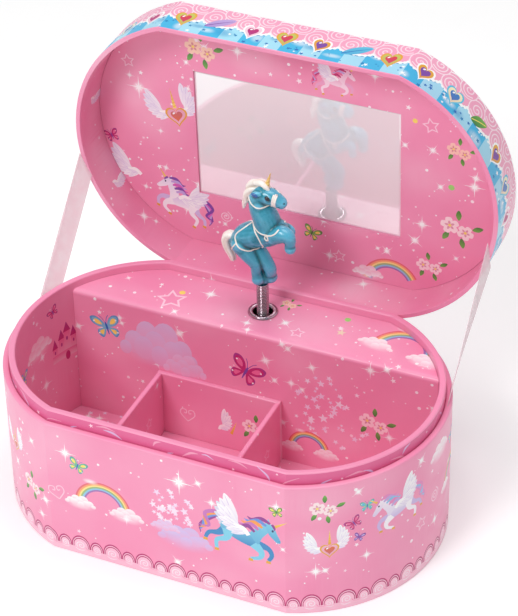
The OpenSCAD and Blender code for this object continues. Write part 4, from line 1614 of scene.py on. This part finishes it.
def strip(name, ways, point, material, thick, lift=0.0, columns=10):
    """A closed woven strip with thicker selvedges. ways are the normals of its rows, and
    point(t, row) is the middle of the cloth, where t runs from -1 to 1 across."""
    bm = bmesh.new()
    rows = []
    for i, way in enumerate(ways):
        faces = []
        for side in (1, -1):
            line = []
            for k in range(columns + 1):
                t = 2 * k / columns - 1
                selvedge = 0.06 if abs(t) > 0.78 else 0.0
                off = Vector(way) * (lift * (1 - t * t) + side * (thick / 2 + selvedge))
                line.append(bm.verts.new(point(t, i) + off))
            faces.append(line)
        rows.append(faces[0] + faces[1][::-1])
    bridge(bm, rows)
    bm.faces.new(rows[0])
    bm.faces.new(rows[-1][::-1])
    return finish_mesh(name, bm, material, sharp=60)


organza = cloth_finish("ribbon_organza", rgb(255, 226, 234), rgb(255, 240, 244), 1500, Alpha=0.62)
RIBBON_W = 10
RIBBON_FOOT = (104.3, 20.5)
RIBBON_HEAD_X = 105.2
RIBBON_RISE = 50


def ribbon_stay(side):
    """A ribbon from the outer wall's rim to the open lid's rim. Its foot is turned to run along
    the curved wall, and each end is cut flush with the rim that holds it."""
    node = "ribbon_right" if side > 0 else "ribbon_left"
    foot = Vector((side * RIBBON_FOOT[0], RIBBON_FOOT[1], WALL_TOP))
    lean = tan(pi / 2 - LID_OPEN)
    head = Vector((side * RIBBON_HEAD_X, HINGE_Y + LID_RIM - WALL_TOP - lean * RIBBON_RISE,
                   WALL_TOP + RIBBON_RISE))
    along = (head - foot).normalized()

    def trimmed(t, row):
        f = row / 48
        turn = radians(14 - 22 * f if side > 0 else 3 * f - 28)
        across = (Vector((-sin(turn), cos(turn), 0))
                  - along * along.y * cos(turn)).normalized()
        at = across * (t * RIBBON_W / 2)
        # the foot's cut lies in the wall's rim plane and the head's in the lid's rim plane
        low = foot + at - along * (at.z / along.z)
        rise = along.y + along.z * lean
        high = head + at - along * ((at.y + at.z * lean) / rise)
        return low.lerp(high, f)

    ribbon = strip(node + "_organza", [(side, 0, 0)] * 49, trimmed, organza, thick=0.16, lift=0.25)
    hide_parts(node)
    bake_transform(ribbon)


for side in SIDES:
    ribbon_stay(side)

cloth = cloth_finish("hinge_cloth_weave", rgb(226, 96, 150), rgb(240, 128, 172), 1900)
lower_low, lower_high = mm_box("hinge_cloth_lower")
_, upper_high = mm_box("hinge_cloth_upper")
CLOTH_T = lower_high[1] - lower_low[1]
face_y, face_z = lower_low[1] + CLOTH_T / 2, upper_high[2] - CLOTH_T / 2
inner_turn = 0.9
path = [((0, face_y, lower_low[2] + (face_z - inner_turn - lower_low[2]) * k / 10), (0, 1, 0))
        for k in range(10)]
for k in range(9):
    a = pi / 2 * k / 8
    path.append(((0, face_y + inner_turn * (1 - cos(a)),
                  face_z - inner_turn * (1 - sin(a))), (0, cos(a), -sin(a))))
path += [((0, face_y + inner_turn + (upper_high[1] - face_y - inner_turn) * k / 10, face_z),
          (0, 0, -1)) for k in range(1, 11)]
hinge_cloth = strip("hinge_cloth_strip", [way for _, way in path],
                    lambda t, row: Vector(path[row][0]) + Vector((t * lower_high[0], 0, 0)),
                    cloth, thick=CLOTH_T - 0.16, columns=40)
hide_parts("hinge_cloth_lower", "hinge_cloth_upper")
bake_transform(hinge_cloth)


# ------------------------------------------------------------------ metal parts

steel = metal("bright_steel", rgb(196, 198, 204), 0.22, grain=(1, 1, 30))
nickel = metal("nickel_plate", rgb(176, 160, 168), 0.16, tint=rgb(206, 190, 200))
brass = metal("turned_brass", rgb(214, 170, 92), 0.24, grain=(1, 30, 1))
blued = metal("blued_spring_steel", rgb(96, 104, 132), 0.2, grain=(1, 1, 30))


def grommet():
    """A rolled eyelet: a flared flange, a rolled lip and the neck below the board."""
    bm = bmesh.new()
    low, high = mm_box("spindle_grommet")
    outer = (high[0] - low[0]) / 2
    top = high[2] - PLATFORM_TOP
    hole, lip = 4.75, 1.1
    profile = [(hole, low[2] - PLATFORM_TOP), (NECK_R - 0.05, low[2] - PLATFORM_TOP),
               (NECK_R - 0.05, -0.05), (NECK_R + 0.3, 0.04)]
    profile += [(outer - 0.3, 0.04), (outer - 0.05, 0.3), (outer - 0.2, 0.7), (outer - 0.7, 0.85)]
    profile += [(hole + lip - (lip - 0.02) * cos(radians(a)),
                 top - lip + lip * sin(radians(a))) for a in range(150, -1, -15)]
    profile += [(hole, top - 1.4), (hole, -1.0)]
    add_lathe(bm, profile, SPINDLE, 72)
    return finish_mesh("spindle_eyelet", bm, nickel, sharp=50)


def spindle_coil():
    """The close-wound spring that lets the figurine bend down under the lid."""
    low, high = mm_box("spindle_spring")
    wire = 0.42
    radius = (high[0] - low[0]) / 2 - wire
    turns = (high[2] - low[2] - 2 * wire) / (2 * wire * 1.02)
    count = int(turns * 20)
    path = []
    for k in range(count + 1):
        a = 2 * pi * turns * k / count
        path.append((SPINDLE.x + radius * cos(a), SPINDLE.y + radius * sin(a),
                     low[2] + wire + (high[2] - low[2] - 2 * wire) * k / count))
    bm = bmesh.new()
    add_tube(bm, path, wire)
    return finish_mesh("spindle_coil", bm, nickel)


def key():
    """A winding key: a turned hub and two pierced, rounded wings."""
    bm = bmesh.new()
    centre = (SPINDLE.x, 0, ARBOR_Z)
    y0, tip = KEY_LOW[1], KEY_HIGH[1]
    y1 = y0 + 12
    add_lathe(bm, [(2.0, y0), (3.6, y0), (4.0, y0 + 0.5), (4.0, y0 + 3.4), (3.7, y0 + 3.8),
                   (3.7, y0 + 4.4), (4.0, y0 + 4.8), (4.0, y1 - 1.2), (3.2, y1), (0, y1),
                   (0, y1 - 3), (2.0, y1 - 3)], centre, 48, axis="Y")
    reach = (KEY_HIGH[0] - KEY_LOW[0]) / 2
    for side in SIDES:
        shape = smooth([(2.6, y0 + 5), (6.4, y0 + 5.4), (reach - 0.6, y0 + 7.6),
                        (reach - 0.1, y1 - 1.6), (reach - 2.4, tip - 0.3), (6.8, y1 + 1.6),
                        (2.6, y1 - 0.6)], closed=True, steps=6)
        cx, cy = reach - 4.3, (y0 + y1) / 2 + 3.2
        eye = ring(cx, cy, 1.9, 2.1, n=len(shape))
        # both outlines start beside each other and run the same way round
        angles = [atan2(y - cy, x - cx) % (2 * pi) for x, y in shape]
        start = angles.index(min(angles))
        shape = shape[start:] + shape[:start]
        if sum(a[0] * b[1] - b[0] * a[1] for a, b in zip(shape, shape[1:])) < 0:
            shape = [shape[0]] + shape[:0:-1]
        rows = []
        for points, z in ((eye, -0.8), (eye, 0.8), (shape, 0.85), (shape, -0.85)):
            rows.append([bm.verts.new((SPINDLE.x + side * x, y, ARBOR_Z + z)) for x, y in points])
        bridge(bm, rows + rows[:1])
    obj = finish_mesh("winding_key_plated", bm, nickel, sharp=35)
    soft = obj.modifiers.new("edges", "BEVEL")
    soft.width, soft.segments, soft.limit_method = 0.00025, 2, "ANGLE"
    return obj


stands_for(grommet(), "box", "spindle_grommet")
coil = spindle_coil()
stands_for(key(), "winder", "winding_key")
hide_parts("spindle_spring")
# the spring is free between the spigot below and the figurine's peg above
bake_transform(coil)

bare_card = Finish("bare_card")
bare_card.mottle(900, 4, rgb(222, 150, 184), rgb(236, 172, 202))
bare_card.roughness(bare_card.noise(300, 3), 0.6, 0.8)
bare_card.bump((bare_card.noise(1100, 4), 0.3, 0.0002))

CAD_FINISHES = {
    bare_card.mat: ("base_panel",),
    brass: ("movement_bedplate", "comb_bracket", "lower_bearing_plate", "upper_bearing_plate",
            "spring_barrel", "barrel_cap", "music_cylinder", "cylinder_wheel", "governor_wheel"),
    steel: ("movement_screws", "comb", "comb_screws", "winding_arbor", "cylinder_arbor",
            "governor_arbor", "fan_arbor", "fan_blades"),
    blued: ("mainspring",),
}
for finish, nodes in CAD_FINISHES.items():
    for node in nodes:
        obj = frame["nodes"][node]
        for slot in obj.material_slots:
            slot.material = finish


# ------------------------------------------------------------------ unicorn

# the second and third colours of each paint are its painted shade and painted highlight
teal = painted("figurine_teal", rgb(14, 134, 156), rgb(0, 80, 90), rgb(96, 190, 222))
cream = painted("figurine_cream", rgb(238, 228, 214), rgb(204, 176, 160), rgb(255, 250, 244))
gilt = painted("figurine_gilt", rgb(226, 178, 84), rgb(160, 110, 40), rgb(250, 222, 140))
ink_black = painted("figurine_eye", rgb(16, 14, 18), rgb(6, 6, 8), rgb(40, 40, 48))
ear_blue = painted("figurine_ear", rgb(18, 74, 140), rgb(8, 40, 90), rgb(50, 110, 180))


def leg(*points):
    """A leg's chain with a fetlock and a slightly wider hoof at its end."""
    *upper, foot = points
    return [*upper, foot, (foot[0] + 0.25, foot[1], foot[2] - 1.3, foot[3] * 1.12)]


# trunk, neck, head, near and far foreleg, near and far hind leg, the web between them, hooves
body_chains = [
    [(-11.5, 0, 38.5, 5.0), (-7.5, 0, 42.5, 6.4), (-2, 0, 45, 6.7), (4, 0, 47, 6.6), (8.0, 0, 49.5, 5.9)],
    [(4.0, 0, 51, 6.7), (2.2, 0, 56, 6.4), (-0.4, 0, 61, 5.5), (-0.8, 0, 66, 4.9)],
    [(0.2, 0, 67.6, 4.8), (4.8, 0, 67.8, 4.2), (8.8, 0, 66.4, 3.4), (10.5, 0, 65.5, 3.0)],
    leg((8.5, -2.6, 49.0, 5.0), (12.4, -3.4, 50.4, 4.3), (15.2, -3.7, 49.9, 3.6),
        (16.4, -3.7, 47.2, 2.8), (16.2, -3.7, 44.7, 2.5)),
    leg((8, 3.3, 49, 3.4), (11, 3.6, 49.2, 2.8), (13.4, 3.7, 48.2, 2.4), (13.8, 3.7, 46.4, 2.0),
        (13.6, 3.7, 45, 1.9)),
    leg((-9.6, -2.2, 38.6, 5.2), (-5.6, -2.8, 34, 4.2), (-2.0, -3.0, 29.6, 3.2), (-1.6, -3.0, 25, 2.7),
        (-1.2, -3.0, 22.4, 2.8)),
    leg((-7.4, 1.8, 39.6, 5.0), (-3.4, 1.2, 35.4, 4.4), (1.0, 0, 31.4, 3.8), (4.4, -0.6, 27.2, 3.2),
        (3.8, 1.0, 22.6, 3.0)),
    [(-1.6, 0.4, 31, 3.4), (0.2, 0.8, 26, 2.6), (1, 0.8, 22.5, 2.6)],
    [(-1.4, -1.4, 20.8, 3.1), (1, 0, 20.6, 3.3), (3.4, 1.4, 20.8, 3.1)],
]
for side in SIDES:
    body_chains.append([(0.8, 3.6 * side, 70.0, 1.3), (-0.8, 4.1 * side, 70.0, 1.4),
                        (-2.8, 4.5 * side, 69.4, 0.6)])
# two locks of the forelock, the crest down the neck, and then six locks behind it
mane_chains = [
    [(4.4, -0.9, 71.6, 0.8), (3.0, -1.2, 73.4, 1.3), (0.8, -0.9, 74.4, 1.5), (-2.2, -0.6, 74, 1.4)],
    [(4.2, 0.9, 71.6, 0.8), (2.8, 1.1, 73.5, 1.2), (0.6, 0.9, 74.4, 1.4), (-2.2, 0.8, 73.8, 1.4)],
    [(-4.9, 0.2, 62, 1.3), (-4.6, 0, 58, 1.0), (-3.9, 0, 53, 0.7)],
]
for k in range(6):
    top = 74.0 - 1.75 * k
    x = -1.6 - 0.4 * k
    y = 1.9 * sin(1.9 * k)
    curl = 0.5 * sin(2.3 * k)
    mane_chains.append([(x + 1.0, 0.3 * y, top + 0.3, 1.4), (x - 2.2, 0.8 * y, top - 0.6, 1.7),
                        (x - 4.4, y, top - 3.0, 1.5), (x - 4.6 + curl, 1.1 * y, top - 5.8, 1.0),
                        (x - 5.4, 1.2 * y, top - 7.4, 0.4)])
tail_chains = []
for k in range(6):
    a = 2 * pi * k / 6
    dx, dy = 0.9 * cos(a), 1.2 * sin(a)
    tail_chains.append([(-13.4, 0.4 * dy, 40.6, 1.6), (-16.6 + dx, dy, 41.0, 1.7),
                        (-18.4 + dx, 1.3 * dy, 38.2, 1.6), (-17.6 + dx, 1.4 * dy, 34, 1.4),
                        (-15.8 + 1.2 * dx, 1.3 * dy, 30, 1.0), (-15.0 + 1.2 * dx, 1.2 * dy, 27, 0.45)])


SOLE = 17.6
unicorn = fused("unicorn_body_painted", body_chains, teal, passes=14, cut=SOLE)
mane = fused("unicorn_mane_painted", mane_chains, cream, voxel=0.28, passes=3)
tail = fused("unicorn_tail_painted", tail_chains, cream, voxel=0.28, passes=3)


def sculpt(obj, pokes):
    """Pushes the skin in or out round points: (x, y, z, reach, depth)."""
    mesh = obj.data
    for x, y, z, reach, depth in pokes:
        co = mesh_points(mesh)
        near = np.clip(1 - (np.linalg.norm(co - (x, y, z), axis=1) / reach) ** 2, 0, 1)
        co += mesh_normals(mesh) * (depth * near ** 2)[:, None]
        mesh.vertices.foreach_set("co", co.ravel())
    mesh.update()


# on one side: nostril, under the eye, brow, mouth, cheek, lip; shoulder, flank, haunch
POKES = (
    (12.8, 1.6, 66.4, 0.8, -0.5), (5.6, 4.0, 67.6, 1.8, -0.5), (6.0, 3.9, 69.6, 1.4, 0.35),
    (10.2, 2.4, 63.8, 1.6, -0.4), (0.8, 4.6, 63.8, 2.8, 0.4), (13.0, 0.8, 64.0, 1.0, -0.3),
    (6.8, 5.2, 46.4, 3.4, 0.5), (0, 6.6, 46, 4.2, -0.5),
    (-8.6, 6.0, 39.4, 3.4, 0.4))
sculpt(unicorn, [(x, y * s, z, reach, depth) for x, y, z, reach, depth in POKES for s in SIDES])
for piece in (unicorn, mane, tail):
    relief(piece)

skin = BVHTree.FromObject(unicorn, bpy.context.evaluated_depsgraph_get())


def on_skin(x, z, side):
    """A point just under the skin beside (x, z), on the side facing -Y or +Y."""
    hit, normal, _, _ = skin.ray_cast(Vector((x, 20 * side, z)), Vector((0, -side, 0)))
    if hit is None:
        hit, normal, _, _ = skin.find_nearest(Vector((x, 5 * side, z)))
    return hit - normal * 0.05


STRAP = 0.48


def harness():
    """Painted straps: raised lines that follow the skin on both sides."""
    bm = bmesh.new()
    # the noseband is three lines side by side
    open_lines = [[(x + 0.5, 70.4), (x + 0.1, 67.4), (x - 0.3, 63.4)] for x in (7.2, 7.9, 8.6)]
    open_lines += [[(-5.2, 66.6), (-2.3, 64.2), (1.8, 63.2), (6.6, 64)],
                   [(-4.4, 53.4), (0.5, 50.6), (5.6, 50), (9.4, 51.6), (11.4, 54)],
                   [(-10.3, 41.5), (-12.2, 38.8), (-13.2, 36.4)]]
    loops = [[(-3.6, 51.4), (-0.4, 49.1), (2.2, 45), (2.7, 41.5), (-1.3, 37.9), (-5.8, 38.4),
              (-10.3, 41.5), (-11.4, 44.6), (-8.6, 48)],
             [(5.0, 49.4), (6.2, 49.2), (6.5, 47.8), (5.5, 47.2), (4.6, 48.0)]]
    for side in SIDES:
        for line in open_lines:
            path = [on_skin(x, z, side) for x, z in smooth(line, steps=7)]
            add_tube(bm, path, STRAP, flat=0.8)
        for line in loops:
            path = [on_skin(x, z, side) for x, z in smooth(line, closed=True, steps=6)]
            add_tube(bm, path, STRAP, closed=True, flat=0.8)
    return finish_mesh("unicorn_harness_painted", bm, cream, scale=1)


def horn_piece():
    """A slender horn with a spiral groove."""
    bm = bmesh.new()
    tilt = Matrix.Rotation(radians(15.4), 4, "Y")
    foot = Vector((2.4, 0, 70.4))
    rows = []
    for i in range(41):
        t = i / 40
        row = []
        for k in range(24):
            a = 2 * pi * k / 24
            groove = 1 - 0.16 * (0.5 + 0.5 * cos(2 * a - 2 * pi * 5 * t)) ** 3
            r = (1.75 * (1 - t) + 0.14) * groove
            row.append(bm.verts.new(foot + tilt @ Vector((r * cos(a), r * sin(a), 10.7 * t))))
        rows.append(row)
    bridge(bm, rows)
    bm.faces.new(rows[0][::-1])
    bm.faces.new(rows[-1])
    return finish_mesh("unicorn_horn_gilt", bm, gilt, scale=1)


def spots(name, x, z, size, turn, material):
    """A pair of slightly domed painted spots on the skin's two sides."""
    bm = bmesh.new()
    for side in SIDES:
        bmesh.ops.create_icosphere(bm, subdivisions=3, radius=1.0,
                                   matrix=Matrix.Translation(on_skin(x, z, side))
                                   @ Matrix.Rotation(turn, 4, "Y") @ Matrix.Diagonal((*size, 1)))
    return finish_mesh(name, bm, material, scale=1)


straps, horn_gilt = harness(), horn_piece()
painted_spots = (
    spots("unicorn_eyes_painted", 5.0, 68.9, (1.35, 1.0, 1.1), 0.3, ink_black),
    spots("unicorn_ears_painted", -0.8, 70.1, (1.7, 0.7, 0.95), 0.3, ear_blue))
for piece in (straps, horn_gilt, *painted_spots):
    relief(piece, 1)
for piece in painted_spots:
    on_spindle(piece)
    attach(piece, "figurine")
for piece, node in ((unicorn, "unicorn_body"), (mane, "unicorn_mane"), (tail, "unicorn_tail"),
                    (horn_gilt, "unicorn_horn"), (straps, "unicorn_harness")):
    on_spindle(piece)
    stands_for(piece, "figurine", node)
for slot in frame["nodes"]["unicorn_peg"].material_slots:
    slot.material = teal


# ------------------------------------------------------------------ floor, light and camera

studio_white = Finish("studio_white", Emission_Strength=0.16)
studio_white.mottle(6, 2, rgb(250, 250, 250), mix(rgb(250, 250, 250), WHITE, 0.5))
studio_white.roughness(studio_white.noise(30, 2), 0.63, 0.77)
bm = bmesh.new()
bmesh.ops.create_grid(bm, x_segments=2, y_segments=2, size=6000)
ground = finish_mesh("studio_floor", bm, studio_white.mat)


def soft_light(name, at, target, size, power):
    data = bpy.data.lights.new(name, "AREA")
    data.shape, data.size, data.energy = "DISK", size, power
    lamp = linked(name, data)
    lamp.location = at
    lamp.rotation_euler = (Vector(target) - Vector(at)).to_track_quat("-Z", "Y").to_euler()


soft_light("key", (-0.4, -1.3, 1.4), (0, 0, 0.08), 0.7, 14)
soft_light("top", (0.1, 0.1, 1.6), (0, 0, 0.05), 1.0, 10)

world = bpy.data.worlds.new("studio")
world.use_nodes = True
background = world.node_tree.nodes["Background"].inputs
background["Color"].default_value = (1, 1, 1, 1)
background["Strength"].default_value = 0.4
bpy.context.scene.world = world
bpy.context.scene.view_settings.view_transform = "Standard"

# a long lens, high in front of the box and to its right
camera_data = bpy.data.cameras.new("camera")
camera_data.lens = 140.9
camera_data.shift_x, camera_data.shift_y = 0.0040, -0.0172
camera = linked("camera", camera_data)
camera.location = (0.3910, -0.8173, 0.7574)
camera.rotation_euler = [radians(a) for a in (54.676, 0.989, 23.892)]
bpy.context.scene.camera = camera
